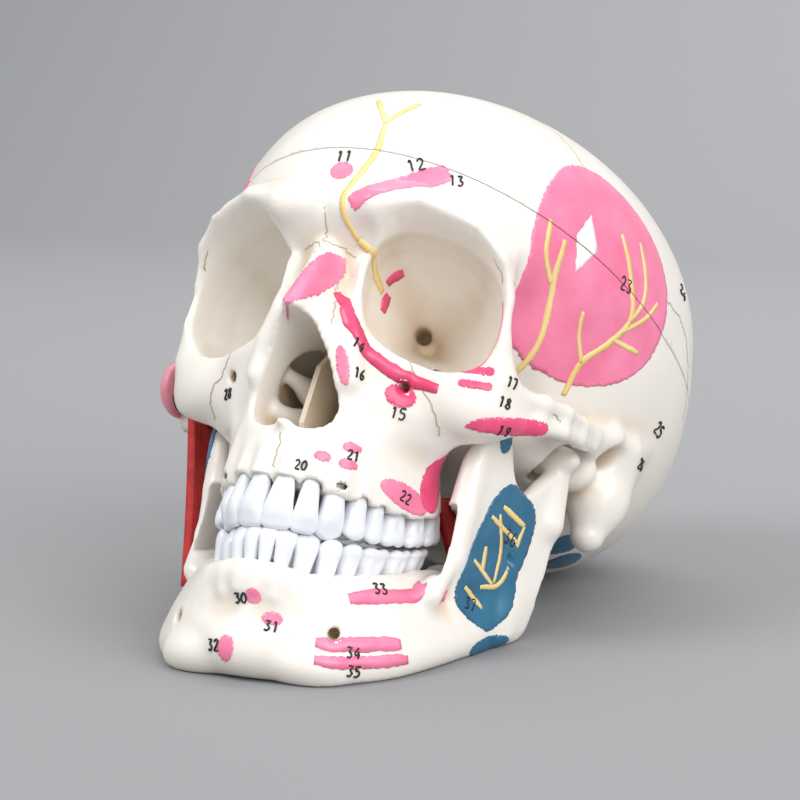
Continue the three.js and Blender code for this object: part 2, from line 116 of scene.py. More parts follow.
# ---- Clay: a distance field that shapes are added to and cut from -----------------------------
class Clay:
    def __init__(self, low, high, step=GRID):
        self.step = step
        self.low = np.array(low, np.float32)
        counts = np.ceil((np.array(high) - self.low) / step).astype(int) + 1
        self.axes = [(self.low[a] + step * np.arange(counts[a])).astype(np.float32) for a in range(3)]
        self.field = np.full(counts, FAR, np.float32)

    def window(self, low, high, margin):
        spans = []
        for a in range(3):
            first = int(np.searchsorted(self.axes[a], low[a] - margin))
            last = int(np.searchsorted(self.axes[a], high[a] + margin))
            spans.append(slice(first, max(last, first)))
        x, y, z = (self.axes[a][spans[a]] for a in range(3))
        return tuple(spans), x[:, None, None], y[None, :, None], z[None, None, :]

    def add(self, shape, soft=2.0):
        distance, low, high = shape
        spans, x, y, z = self.window(low, high, soft + 3)
        if 0 not in self.field[spans].shape:
            self.field[spans] = soft_min(self.field[spans], distance(x, y, z), soft)

    def cut(self, shape, soft=1.0):
        distance, low, high = shape
        spans, x, y, z = self.window(low, high, soft + 3)
        if 0 not in self.field[spans].shape:
            self.field[spans] = -soft_min(-self.field[spans], distance(x, y, z), soft)


def soft_min(a, b, soft):
    if soft <= 0:
        return np.minimum(a, b)
    h = np.clip(soft - np.abs(a - b), 0, None) / soft
    return (np.minimum(a, b) - h * h * (soft / 4)).astype(np.float32)


def turned(turn):
    """Rows of the matrix that takes a point into a shape turned by degrees about X, Y, then Z."""
    rx, ry, rz = (math.radians(a) for a in turn)
    spin = Matrix.Rotation(rz, 3, "Z") @ Matrix.Rotation(ry, 3, "Y") @ Matrix.Rotation(rx, 3, "X")
    return np.array(spin.transposed())


def ball(centre, radii, turn=(0, 0, 0)):
    c = np.array(centre, float)
    r = np.array(radii, float) * np.ones(3)
    rows = turned(turn)
    reach = float(r.max())

    def distance(x, y, z):
        u = [row[0] * (x - c[0]) + row[1] * (y - c[1]) + row[2] * (z - c[2]) for row in rows]
        k0 = np.sqrt(sum((u[i] / r[i]) ** 2 for i in range(3)))
        k1 = np.sqrt(sum((u[i] / r[i] ** 2) ** 2 for i in range(3))) + 1e-6
        return k0 * (k0 - 1) / k1
    return distance, c - reach, c + reach


def cone(a, b, ra, rb=None):
    """A round-ended rod between two points, with a radius at each end."""
    a, b = np.array(a, float), np.array(b, float)
    rb = ra if rb is None else rb
    along = b - a
    length2 = float(along @ along) + 1e-9
    reach = max(ra, rb)

    def distance(x, y, z):
        px, py, pz = x - a[0], y - a[1], z - a[2]
        t = np.clip((px * along[0] + py * along[1] + pz * along[2]) / length2, 0, 1)
        return np.sqrt((px - t * along[0]) ** 2 + (py - t * along[1]) ** 2
                       + (pz - t * along[2]) ** 2) - (ra + t * (rb - ra))
    return distance, np.minimum(a, b) - reach, np.maximum(a, b) + reach


def rope(points, radii, soft=2.0):
    """Round rods joined end to end along points."""
    radii = np.ones(len(points)) * radii
    rods = [cone(points[i], points[i + 1], radii[i], radii[i + 1]) for i in range(len(points) - 1)]

    def distance(x, y, z):
        total = rods[0][0](x, y, z)
        for rod in rods[1:]:
            total = soft_min(total, rod[0](x, y, z), soft)
        return total
    return distance, np.min([r[1] for r in rods], axis=0), np.max([r[2] for r in rods], axis=0)


def outline_distance(px, py, outline):
    """Signed distance from points to a closed outline in a plane, negative inside."""
    best = np.full(np.broadcast(px, py).shape, 1e9, np.float32)
    inside = np.zeros(best.shape, bool)
    for (ax, ay), (bx, by) in zip(outline, np.roll(outline, -1, axis=0)):
        ex, ey = bx - ax, by - ay
        wx, wy = px - ax, py - ay
        t = np.clip((wx * ex + wy * ey) / (ex * ex + ey * ey + 1e-12), 0, 1)
        best = np.minimum(best, (wx - ex * t) ** 2 + (wy - ey * t) ** 2)
        if by != ay:
            crosses = (ay > py) != (by > py)
            inside ^= crosses & (px < ex * (py - ay) / ey + ax)
    return np.where(inside, -1, 1) * np.sqrt(best)


def plate(outline, middle, half, rounding=1.5):
    """A slab seen from the side: outline in (y, z), with its middle in x and its half thickness
    given as functions of y and z."""
    outline = spline(outline, 5, closed=True)
    low2, high2 = outline.min(axis=0), outline.max(axis=0)
    corners = [middle(y, z) for y in (low2[0], high2[0]) for z in (low2[1], high2[1])]

    def distance(x, y, z):
        side = outline_distance(y[0], z[0], outline)[None] + rounding
        thick = np.abs(x - middle(y, z)) - half(y, z) + rounding
        outside = np.sqrt(np.clip(side, 0, None) ** 2 + np.clip(thick, 0, None) ** 2)
        return outside + np.minimum(np.maximum(side, thick), 0) - rounding
    return (distance, np.array([min(corners) - 8, low2[0], low2[1]]),
            np.array([max(corners) + 8, high2[0], high2[1]]))


def spared(shape, other, room):
    """A shape held back by some room from another one."""
    distance, low, high = shape
    return (lambda x, y, z: np.maximum(distance(x, y, z), room - other[0](x, y, z))), low, high


def level_loft(levels):
    """A solid whose level sections are given as (height, left-half outline points)."""
    levels = sorted(levels, key=lambda level: level[0])
    heights = np.array([level[0] for level in levels], float)
    table = np.array([level[1] for level in levels], float)
    fine = spline(np.hstack([heights[:, None], table.reshape(len(levels), -1)]), 10)
    low = np.array([0, table[..., 1].min(), heights[0]])
    high = np.array([table[..., 0].max(), table[..., 1].max(), heights[-1]])

    def distance(x, y, z):
        out = np.empty((x.shape[0], y.shape[1], z.shape[2]), np.float32)
        for k, height in enumerate(z[0, 0]):
            at = np.clip(height, heights[0], heights[-1])
            half = np.array([np.interp(at, fine[:, 0], column) for column in fine.T[1:]]).reshape(-1, 2)
            outline = spline(np.vstack([half, half[-2:0:-1] * (-1, 1)]), 4, closed=True)
            flat = outline_distance(x[:, :, 0], y[:, :, 0], outline)
            over = max(heights[0] - height, height - heights[-1])
            out[:, :, k] = flat if over <= 0 else np.sqrt(np.clip(flat, 0, None) ** 2 + over**2)
        return out
    return distance, low, high


# ---- Braincase ------------------------------------------------------------------------------
VAULT_MIDDLE = (16.0, 44.0)  # y and z of the widest point
VAULT_HALF_WIDTH = 70.6
# The braincase seen from the side, from the brow over the crown to the nape and under the brain.
SIDE_PROFILE = [
    (-92.5, 36), (-93.5, 47), (-92, 58), (-86.5, 70.5), (-75.5, 82.5), (-56, 94.2), (-32, 102.4),
        (-8, 106.4),
    (14, 106), (35, 101.5), (54.5, 91.8), (72, 78), (84, 60), (90, 42), (91, 25), (88, 7),
    (80.5, -10), (67, -23), (50, -29.5), (30, -30), (8, -25), (-14, -19), (-34, -9), (-50, 5),
    (-68, 18), (-84, 27),
]


def vault_distance(x, y, z):
    cy, cz = VAULT_MIDDLE
    profile = spline(SIDE_PROFILE, 12, closed=True)
    angle = np.arctan2(profile[:, 1] - cz, profile[:, 0] - cy)
    radius = np.hypot(profile[:, 0] - cy, profile[:, 1] - cz)
    order = np.argsort(angle)
    theta = np.arctan2(z - cz, y - cy)
    reach = np.interp(theta, angle[order], radius[order], period=2 * math.pi)
    down = np.clip(-np.sin(theta), 0, 1)
    power = 2.03 + 0.4 * down
    ratio = np.hypot(y - cy, z - cz) / reach
    value = (ratio**power + (np.abs(x) / VAULT_HALF_WIDTH) ** power) ** (1 / power) - 1
    slopes = np.gradient(value.astype(np.float32), GRID)
    steep = np.sqrt(sum(s * s for s in slopes)) + 1e-4
    return (value / steep).astype(np.float32)


def braincase(clay):
    """The outer skin of the braincase, and the hollow inside it."""
    x, y, z = np.meshgrid(*clay.axes, indexing="ij", sparse=True)
    skin = vault_distance(x, y, z)
    clay.field = np.minimum(clay.field, skin)
    clay.skin = skin


def brain_hollow(clay):
    x, y, z = np.meshgrid(*clay.axes, indexing="ij", sparse=True)
    inner = clay.skin + WALL
    lobes = Clay(clay.low, (clay.axes[0][-1], clay.axes[1][-1], clay.axes[2][-1]))
    lobes.field = np.broadcast_to(44 - z + 0 * x + 0 * y, clay.field.shape).astype(np.float32).copy()
    lobes.add(ball((26, -48, 52), (26, 38, 17)), 4)  # frontal lobes over the eye sockets
    lobes.add(ball((0, -60, 45), (9, 22, 14)), 4)
    lobes.add(ball((39, -18, 26), (22, 25, 28), (0, 0, -12)), 4)  # temporal lobes
    lobes.add(ball((27, 42, 12), (36, 42, 36)), 5)  # cerebellum
    lobes.add(ball((0, 30, 8), (18, 32, 30)), 5)
    lobes.add(ball((0, -24, 34), (8, 8, 17)), 4)  # over the pituitary
    hollow = np.maximum(np.maximum(inner, lobes.field), clay.field + THIN_WALL)
    clay.field = -soft_min(-clay.field, hollow, 1.0)


# ---- Face -----------------------------------------------------------------------------------
# Level sections: from the midline in front, past the inner and lower rim of the eye socket, to
# the outer corner, and back inside to the midline.
FACE = [
    (47, [(0, -92.5), (8, -92.5), (16, -91.5), (30, -86), (40, -78), (44, -69), (42, -60), (25, -50),
        (0, -48)]),
    (41, [(0, -93.6), (8, -93.8), (17, -93), (30, -88.2), (41, -81), (46.5, -71), (45, -62), (25, -50),
        (0, -48)]),
    (35, [(0, -93), (8, -92.8), (17, -91.2), (30, -88.5), (42, -82), (49, -72.5), (47, -64), (25, -50),
        (0, -48)]),
    (29, [(0, -89.5), (5, -89), (12, -86.5), (29, -86), (42, -80.5), (50, -72), (48, -64), (25, -50),
        (0, -48)]),
    (21, [(0, -92.5), (4, -90.5), (10.5, -84), (28, -80), (42, -76), (49.5, -69.5), (48, -62),
        (25, -50), (0, -48)]),
    (13, [(0, -97.8), (5.2, -93.8), (12, -85), (28, -79), (42, -74.5), (50.5, -66.5), (48.5, -58),
        (25, -49), (0, -46)]),
    (6, [(0, -102), (6.4, -96.5), (14, -86.5), (28, -79.5), (42, -73.5), (52.5, -64), (50, -55),
        (25, -48), (0, -44)]),
    (-1, [(0, -101), (9.5, -93), (17, -86), (29, -80), (43, -72), (55, -61), (52, -52), (24, -46),
        (0, -42)]),
    (-9, [(0, -97), (12, -89.5), (19, -84), (28, -78.5), (42, -70.5), (55, -58.5), (51, -50),
        (22, -44), (0, -40)]),
    (-15, [(0, -93.5), (13.5, -88), (20, -83), (28, -77.5), (39.5, -69), (49, -60.5), (46, -53),
        (20, -42), (0, -38)]),
    (-20, [(0, -92), (14, -87.6), (20, -82.5), (27, -76.5), (35, -67.5), (41, -60.5), (38.5, -52),
        (18, -41), (0, -38)]),
    (-25, [(0, -92), (13, -88.2), (19.5, -83), (25.5, -76), (30.5, -66), (33.5, -58), (30, -48),
        (18, -40), (0, -38)]),
    (-31, [(0, -92), (9, -90.4), (18, -84.6), (25, -75.5), (30, -64.5), (32, -54), (29, -44),
        (15, -40), (0, -39)]),
    (-37, [(0, -92), (9, -90.2), (18.2, -84.4), (25.5, -74.5), (30.4, -63), (32.6, -52), (29, -43.5),
        (15, -41), (0, -40)]),
    (-48, [(0, -92), (9, -90), (18, -84), (25.2, -74.5), (30.4, -63), (32.6, -52), (29, -43),
        (15, -41), (0, -40)]),
]
ORBIT_RIM = np.array((31.0, -77.5, 17.6))
ORBIT_APEX = np.array((13.5, -41.0, 17.0))
ORBIT_WALL = 2.4
ORBIT_DEPTH = [-22, -8, -2, 4, 12, 20, 28, 36, 42]
ORBIT_HALF_WIDE = [30, 22.5, 20.3, 20.4, 19, 15.6, 11, 6, 2.4]
ORBIT_HALF_HIGH = [27, 20.5, 18.8, 19, 17.8, 14.8, 10.5, 5.6, 2.4]
ORBIT_DROOP = 0.16  # the outer corner hangs lower


def orbit_frame():
    """The funnel's axis, and the directions across and up its rim."""
    axis = (ORBIT_APEX - ORBIT_RIM) / np.linalg.norm(ORBIT_APEX - ORBIT_RIM)
    across = np.cross((0, 0, 1.0), -axis)
    across /= np.linalg.norm(across)
    return axis, across, np.cross(-axis, across)


def orbit(wall=0):
    """An eye socket: a rounded-square funnel from its rim to its apex. With a wall it is the
    bone that closes the funnel behind the rim."""
    rim, apex = ORBIT_RIM, ORBIT_APEX
    axis, across, up = orbit_frame()

    def distance(x, y, z):
        px, py, pz = x - rim[0], y - rim[1], z - rim[2]
        t = px * axis[0] + py * axis[1] + pz * axis[2]
        u = px * across[0] + py * across[1] + pz * across[2]
        v = px * up[0] + py * up[1] + pz * up[2]
        v = v + ORBIT_DROOP * u
        wide = np.interp(t, ORBIT_DEPTH, ORBIT_HALF_WIDE)
        high = np.interp(t, ORBIT_DEPTH, ORBIT_HALF_HIGH)
        power = 2.5
        ring = ((np.abs(u) / wide) ** power + (np.abs(v) / high) ** power) ** (1 / power)
        side = (ring - 1) * np.minimum(wide, high) - wall
        front = 6 - t if wall else side
        return np.maximum(np.maximum(side, front), t - ORBIT_DEPTH[-1] - wall)
    low = np.minimum(rim, apex) - (26, 20, 26)
    return distance, low, np.maximum(rim, apex) + (26, 6, 26)


def brow_and_nose(clay):
    clay.add(rope([(4, -93.5, 40), (15, -94.2, 40.5), (27, -90.5, 42.5), (37, -85, 41)],
        [2.4, 4, 3.2, 2.2]), 6)
    clay.add(rope([(0, -90, 27), (0, -95, 17), (0, -102, 6.5)], [3.2, 2.6, 2.4]), 4)
    clay.add(rope([(12, -86, 24), (12.5, -86.5, 12), (13.5, -88, 0), (14.5, -87.5, -10)],
        [2.2, 2.2, 2.6, 3]), 4)
    clay.add(rope([(42, -83, 37), (46.5, -76, 31.5), (48, -71, 22), (49, -69.5, 10), (51, -66, 0)],
        [2.8, 3.6, 3.6, 3.8, 4.3]), 5)


def cheek(clay):
    clay.add(ball((45, -66, -8), (12, 7, 9.5), (0, 15, 38)), 6)
    upper = [(52.5, -60, -3), (58.6, -50, -1.5), (61.4, -40, -0.5), (61.8, -28, 0.2), (60.6, -15, 1.8),
        (59, -5, 3.6)]
    lower = [(51.5, -60, -11), (58, -50, -8.5), (61.4, -40, -6.4), (61.6, -28, -4.8), (60, -16, -2.5),
        (57, -8, -0.5)]
    clay.add(rope(upper, [3, 2.5, 2.1, 2, 2.3, 2.6], 2), 4)
    clay.add(rope(lower, [3.2, 2.5, 2, 2, 2.6, 3.2], 2), 4)


def tooth_roots(clay):
    """The ridges that the upper roots raise on the bone, longest over the canine."""
    for index, place in enumerate(tooth_places("upper")):
        length = [9, 9, 17, 10, 9, 6, 5, 4][index]
        bulge = [2.3, 2, 2.9, 2, 1.9, 1.6, 1.4, 1.2][index]
        y = place["at"][1]
        foot = np.array([*(place["at"] - 2.1 * place["out"]), bite_height(y) + UPPER[index][3] + 1])
        lean = np.array([*(-1.5 * place["out"]), length])
        clay.add(cone(foot, foot + lean, bulge, bulge * 0.5), 3)


def nose_hollow(clay):
    half = [(0, 5.5), (4.6, 4), (8.4, -3), (11.4, -11), (13.4, -18), (12, -23.6), (6, -26), (0, -25)]
    outline = spline([(x, z) for x, z in half] + [(-x, z) for x, z in half[-2:0:-1]], 4, closed=True)

    def distance(x, y, z):
        spread = 1 - 0.1 * np.clip((y + 84) / 20, 0, 1)
        pear = outline_distance(x[:, 0, :], z[:, 0, :], outline)[:, None, :] * spread
        return np.maximum(pear, y + 46)
    clay.cut((distance, np.array((0, -110, -27)), np.array((14, -44, 6))), 0.8)
    clay.cut(ball((8, -64, -9), (7, 16, 14)), 2)
    clay.add(rope([(11, -74, -6), (8, -66, -8), (8, -50, -9)], [2, 3.6, 3]), 3)  # conchae
    clay.add(rope([(12.5, -76, -17), (8.6, -67, -18), (8.4, -50, -19)], [2, 4, 3]), 3)
    clay.add(rope([(0, -91, -26), (0, -94.6, -25.5)], [2, 0.8]), 2)  # nasal spine


def socket_cuts(clay):
    clay.add(orbit(ORBIT_WALL), 2)
    clay.cut(orbit(), 1.6)
    clay.cut(cone((14.5, -48, 19), (9, -34, 21), 2.6, 2.2), 1)  # optic canal
    clay.cut(rope([(15, -44, 14), (20, -47, 18), (25, -50.5, 24)], [1.6, 1.5, 1.1]), 1)
    clay.cut(rope([(19, -46, 7), (26, -52, 3.5), (33, -59, 1.5)], [1.5, 1.6, 1.1]), 1)
    clay.cut(rope([(13, -83.5, 15), (13.6, -80, 8), (13.6, -78, 3)], [1.6, 2.4, 2.2]), 1.5)  # tear duct
    clay.cut(cone((27.6, -84, -11.5), (27.6, -73, -6), 1.9, 1.6), 0.8)  # infraorbital foramen
    clay.cut(cone((22, -92, 36.5), (22.5, -84, 34), 1.6, 1.2), 1.2)  # supraorbital notch
    clay.cut(ball((27, -86, -20), (8, 5, 8)), 4)  # canine fossa


def temple_and_behind(clay):
    """The hollow of the temple, and the space inside the cheek arch."""
    socket = orbit()
    clay.cut(spared(ball((60, -56, 22), (11.5, 14, 21), (0, 8, 24)), socket, ORBIT_WALL), 8)
    clay.cut(spared(ball((49, -44, -3), (12, 16, 15.5), (0, 0, 18)), socket, ORBIT_WALL), 4)
    clay.cut(ball((41, -46, -21), (10, 15, 13)), 4)
    clay.cut(ball((0, -52, -49), (20, 33, 15.5)), 3)  # palate


def ear_region(clay):
    clay.add(rope([(57, -8, 2), (62, -3, 4.5), (64, 8, 5), (62, 20, 8)], [3.6, 3, 2.4, 1.6]), 5)
    clay.add(rope([(55, 12, 0), (54.5, 12, -12), (54.2, 10.5, -23)], [11, 9.2, 5.4], 4), 6)  # mastoid
    clay.add(ball((50, -25, -2), (9.5, 4.5, 4.2), (0, 0, -10)), 4)  # in front of the jaw socket
    clay.add(ball((50, -3, -7), (9, 4.4, 6.5), (0, 0, -6)), 4)  # tympanic plate
    clay.add(cone((44, -2, -12), (42, -8, -30), 2.6, 0.9), 2)  # styloid
    clay.cut(ball((CONDYLE_X, JAW_AXIS.y, JAW_AXIS.z), (12.6, 7.4, 7.2), (0, 0, -12)), 2)
    clay.cut(cone((72, -1, -1.5), (44, 0, -1), 4.2, 3.2), 1.5)
    clay.cut(ball((45, 20, -22), (3, 12, 9)), 4)  # groove behind the mastoid


def underside(clay):
    clay.add(rope([(0, 2, -21), (0, -10, -15), (0, -26, -9), (0, -38, -6)], [8, 9, 10, 9], 4), 5)
    clay.add(ball((34, -14, -6), (20, 20, 9)), 6)
    clay.add(ball((15.5, 11, -27), (5, 10.5, 4.5), (0, 0, 24)), 4)  # occipital condyles
    clay.add(plate([(-50, -12), (-36, -10), (-30, -24), (-33, -40), (-45, -43), (-50, -30)],
                   lambda y, z: 20 - 0.16 * (z + 12) - 0.1 * (y + 42), lambda y, z: 1.6 + 0 * y, 1), 3)
    clay.add(plate([(-47, -14), (-37, -12), (-36, -28), (-39, -39), (-45, -40)],
                   lambda y, z: 13.5 + 0 * y, lambda y, z: 1.3 + 0 * y, 1), 3)
    clay.add(cone((0, 80, -11), (0, 83, -12), 3, 1.5), 6)
    clay.add(rope([(0, 81, -11), (24, 77, -6), (44, 62, -1)], [1.4, 1.2, 0.8]), 5)  # nape line
    clay.cut(ball((0, 19, -27), (14.5, 17.5, 15)), 2)
    clay.cut(ball((22, 44, -38), (15, 14, 9)), 8)


def alveolar_trim(clay):
    """Cuts the upper jaw's bone along the necks of the teeth."""
    def distance(x, y, z):
        return z - np.interp(y, *UPPER_RIM) + 0 * x
    clay.cut((distance, np.array((0, -104, -60)), np.array((44, -34, -30))), 1.2)
    scallop(clay, "upper")


CONDYLE_X = 49.0
# One side of each arch from the midline: width along the arch, depth across it, and crown height above the
# bone.
UPPER = [("central_incisor", 9.8, 7.2, 12.4), ("lateral_incisor", 8, 6.6, 12.8), ("canine", 8.6, 8.4, 14.4),
         ("first_premolar", 7, 9.2, 11.4), ("second_premolar", 6.6, 9.2, 10.4),
             ("first_molar", 10.4, 11, 9),
         ("second_molar", 9.2, 11, 9), ("third_molar", 8.8, 10, 8.6)]
LOWER = [("central_incisor", 5.6, 6, 9.4), ("lateral_incisor", 6.6, 6.4, 10.6), ("canine", 7.6, 7.8, 12.4),
         ("first_premolar", 6.9, 7.8, 11), ("second_premolar", 7, 8.2, 9.2), ("first_molar", 11, 10.4, 7.4),
         ("second_molar", 10, 10.2, 6.6), ("third_molar", 9.4, 9.8, 6.4)]
ARCHES = {"upper": (UPPER, 31.4, 52.0, -1), "lower": (LOWER, 29.6, 50.6, 1)}
# Height of the rim of the tooth sockets over y, front to back.
UPPER_RIM = ((-94, -82, -62, -46, -30), (-42.9, -43.3, -42.3, -37, -33))
LOWER_RIM = ((-94, -88, -82, -75, -62, -55, -46), (-64.4, -66.6, -65.4, -62.8, -58.4, -55.6, -52.2))


def tooth_places(arch):
    """Where each left tooth stands on its arch: outer face, direction out, bend of the arch."""
    teeth, half, reach, _ = ARCHES[arch]
    places = []
    angle = 0.0

    def at(a):
        return np.array((half * math.sin(a), ARCH_BACK_Y - reach * math.cos(a)))
    for _, width, _, _ in teeth:
        for part in ("middle", "end"):
            here = at(angle)
            while np.linalg.norm(at(angle) - here) < width / 2:
                angle += 0.002
            if part == "middle":
                out = np.array((math.sin(angle) / half, -math.cos(angle) / reach))
                speed = math.hypot(half * math.cos(angle), reach * math.sin(angle))
                places.append({"at": at(angle), "out": out / np.linalg.norm(out),
                               "bend": half * reach / speed**3})
    return places


def sculpt_cranium():
    clay = Clay((0, -108, -50), (76, 98, 116))
    braincase(clay)
    clay.add(level_loft(FACE), 5)
    temple_and_behind(clay)
    brow_and_nose(clay)
    cheek(clay)
    tooth_roots(clay)
    underside(clay)
    ear_region(clay)
    socket_cuts(clay)
    nose_hollow(clay)
    alveolar_trim(clay)
    brain_hollow(clay)
    return clay


# ---- From clay to mesh ------------------------------------------------------------------------
def skin_of(clay, mirror=True):
    """Points and quads of the zero surface, by surface nets."""
    field, low = clay.field, clay.low
    if mirror:
        field = np.concatenate([field[:0:-1], field])
        low = low - ((len(clay.axes[0]) - 1) * clay.step, 0, 0)
    field = np.pad(field, 1, constant_values=FAR)
    low = low - clay.step
    inside = field < 0
    corners = np.array([(i, j, k) for i in (0, 1) for j in (0, 1) for k in (0, 1)])
    shape = np.array(field.shape) - 1

    def shifted(array, corner):
        return array[tuple(slice(c, c + n) for c, n in zip(corner, shape))]
    full = sum(shifted(inside, c).astype(np.int8) for c in corners)
    active = (full > 0) & (full < 8)
    cells = np.argwhere(active)
    number = np.full(shape, -1, np.int32)
    number[active] = np.arange(len(cells))
    values = np.stack([field[tuple((cells + c).T)] for c in corners], axis=1)
    total = np.zeros((len(cells), 3))
    count = np.zeros(len(cells))
    for a in range(8):
        for b in range(a + 1, 8):
            if np.abs(corners[b] - corners[a]).sum() != 1:
                continue
            va, vb = values[:, a], values[:, b]
            crosses = (va < 0) != (vb < 0)
            t = np.where(crosses, va / np.where(crosses, va - vb, 1), 0)
            total += crosses[:, None] * (corners[a] + t[:, None] * (corners[b] - corners[a]))
            count += crosses
    points = low + clay.step * (cells + total / count[:, None])
    return points, np.vstack([net_quads(inside, number, shape, axis) for axis in range(3)])


def net_quads(inside, number, shape, axis):
    """One quad round each grid edge along an axis that the surface crosses."""
    here_at = [slice(1, n) for n in shape]
    here_at[axis] = slice(0, shape[axis])
    there_at = list(here_at)
    there_at[axis] = slice(1, shape[axis] + 1)
    here, there = inside[tuple(here_at)], inside[tuple(there_at)]
    edges = np.argwhere(here != there)
    leaves = here[tuple(edges.T)]
    base = edges + np.array([0 if a == axis else 1 for a in range(3)])
    u, v = [np.eye(3, dtype=int)[a] for a in range(3) if a != axis]
    quad = np.stack([number[tuple((base - s).T)] for s in (0 * u, u, u + v, v)], axis=1)
    outward = leaves if axis != 1 else ~leaves
    quad[~outward] = quad[~outward][:, ::-1]
    return quad


def mesh_object(name, points, faces, to_world=True):
    mesh = bpy.data.meshes.new(name)
    faces = np.asarray(faces)
    mesh.vertices.add(len(points))
    mesh.vertices.foreach_set("co", np.asarray(points, np.float32).ravel())
    mesh.loops.add(faces.size)
    mesh.loops.foreach_set("vertex_index", faces.ravel().astype(np.int32))
    mesh.polygons.add(len(faces))
    mesh.polygons.foreach_set("loop_start", np.arange(len(faces), dtype=np.int32) * faces.shape[1])
    mesh.update(calc_edges=True)
    mesh.validate()
    mesh.shade_smooth()
    if to_world:
        mesh.transform(TO_WORLD)
    piece = bpy.data.objects.new(name, mesh)
    bpy.context.scene.collection.objects.link(piece)
    return piece


# ---- Lower jaw --------------------------------------------------------------------------------
# From behind the last molar round to the chin: the middle of the lower border, then of the rim
# of the tooth sockets.
JAW_BODY = [
    ((42.5, -22, -62), (29, -31, -53)), ((40.4, -42, -72.6), (27.2, -45, -55)),
    ((37, -58, -80.6), (25, -57, -58.5)), ((32.5, -68, -86), (21.4, -69.5, -62.5)),
    ((24, -76.5, -90), (14.4, -82, -68)), ((12.5, -81, -91.2), (7, -87.2, -68.5)),
    ((0, -82, -91), (0, -89, -68.5)),
]


def below_table():
    """What lies under the table top, so that the bone rests flat on it."""
    n = TABLE_NORMAL

    def distance(x, y, z):
        return n.x * x + n.y * y + n.z * z + EAR_HEIGHT
    return distance, np.array((-80, -120, -120)), np.array((80, 120, 0))


def jaw_body(clay):
    for share, radius in ((0, 5.0), (0.34, 5.4), (0.67, 5.6), (1, 5.6)):
        line = [np.array(low) * (1 - share) + np.array(rim) * share for low, rim in JAW_BODY]
        bulge = math.sin(math.pi * share)
        line = [p + (1.2 * bulge * (p[0] > 20), 0, 0) for p in line]
        clay.add(rope(spline(line, 3), radius, 0), 7)
    clay.add(ball((0, -86, -88.5), (10, 5.4, 6.5)), 5)  # chin
    clay.add(ball((19.5, -81, -91.5), (8.5, 5.2, 4.5), (0, 0, 22)), 5)
    clay.cut(ball((12, -95.5, -79), (11, 5, 6)), 5)
    clay.cut(ball((28.5, -46, -73), (4, 15, 7), (0, 0, 14)), 4)  # under the line inside the jaw
    for index, place in enumerate(tooth_places("lower")):
        y = place["at"][1]
        foot = np.array([*(place["at"] - 1.6 * place["out"]), bite_height(y) - LOWER[index][3] - 1])
        clay.add(cone(foot, foot + np.array([*(0.5 * place["out"]), -8]), 2.1 if index == 2 else 1.6,
            0.8), 3)


def jaw_branch(clay):
    outline = [(-49, -60), (-52, -46), (-54, -34), (-55, -20), (-52, -8), (-46, -5), (-41.5, -11),
               (-35, -20), (-27, -22), (-19.5, -14), (-12, -11), (-10.2, -22), (-8.8, -36),
               (-9.6, -50), (-14, -60.5), (-24, -67.5), (-38, -74)]

    def middle(y, z):
        return 46.9 + 0.11 * (z + 40) + 0.2 * (y + 20)

    def half(y, z):
        thin = np.exp(-((y + 30) ** 2 + (z + 34) ** 2) / 240)
        return 3.1 - 0.9 * thin - 0.035 * np.clip(z + 25, 0, None)
    clay.add(plate(outline, middle, half, 2.0), 4)
    clay.add(rope([(41.5, -52, -22), (40.5, -52, -36), (39.8, -52.5, -50), (39, -57, -62)],
        [1.6, 2.4, 3.2, 3]), 5)
    clay.add(rope([(38, -46, -38), (34, -45, -46), (31, -44, -52)], [1.4, 2.2, 2.8]), 5)
    clay.add(rope([(51.2, -13.2, -27), (50.4, -13.6, -15)], [4.2, 3.6]), 4)
    clay.add(ball((CONDYLE_X, JAW_AXIS.y, JAW_AXIS.z), (9.4, 4.4, 4.8), (0, 0, -12)), 3)
    clay.add(ball((47.2, -19, -57), (3.2, 9, 8)), 4)  # where the masseter pulls
    for y, z in ((-13, -55), (-18, -62), (-25, -66)):
        clay.add(cone((46.4, y, z), (48.4, y + 3, z + 3), 1.6, 1.2), 2)
    clay.cut(cone((42, -30, -38), (48, -26, -44), 1.8, 1.2), 1.5)  # hole for the jaw's nerve


def lower_rim_trim(clay):
    def distance(x, y, z):
        return np.interp(y, *LOWER_RIM) - z + 0 * x
    clay.cut((distance, np.array((0, -104, -72)), np.array((36, -40, -40))), 1.6)


def scallop(clay, arch):
    """The bone dips at each tooth and rises between them."""
    teeth, _, _, way = ARCHES[arch]
    for place, (_, width, depth, crown) in zip(tooth_places(arch), teeth):
        middle = place["at"] - place["out"] * depth * 0.5
        neck = bite_height(middle[1]) - way * (crown + 0.2)
        turn = math.degrees(math.atan2(place["out"][0], -place["out"][1]))
        clay.cut(ball((*middle, neck), (width * 0.4, depth * 0.56, 2.1), (0, 0, turn)), 1.0)


def sculpt_jaw():
    clay = Clay((0, -104, -102), (66, 2, 4))
    jaw_body(clay)
    jaw_branch(clay)
    lower_rim_trim(clay)
    scallop(clay, "lower")
    clay.cut(cone((27, -88, -83.5), (22, -77, -80), 1.9, 1.6), 1)  # mental foramen
    clay.cut(below_table(), 0.6)
    return clay


# ---- Teeth ------------------------------------------------------------------------------------
TOOTH_GRID = 0.42
BITE_GAP = 0.12
OVERBITE = {"upper": 0.8, "lower": 0.5}  # how far the front teeth pass the biting surface


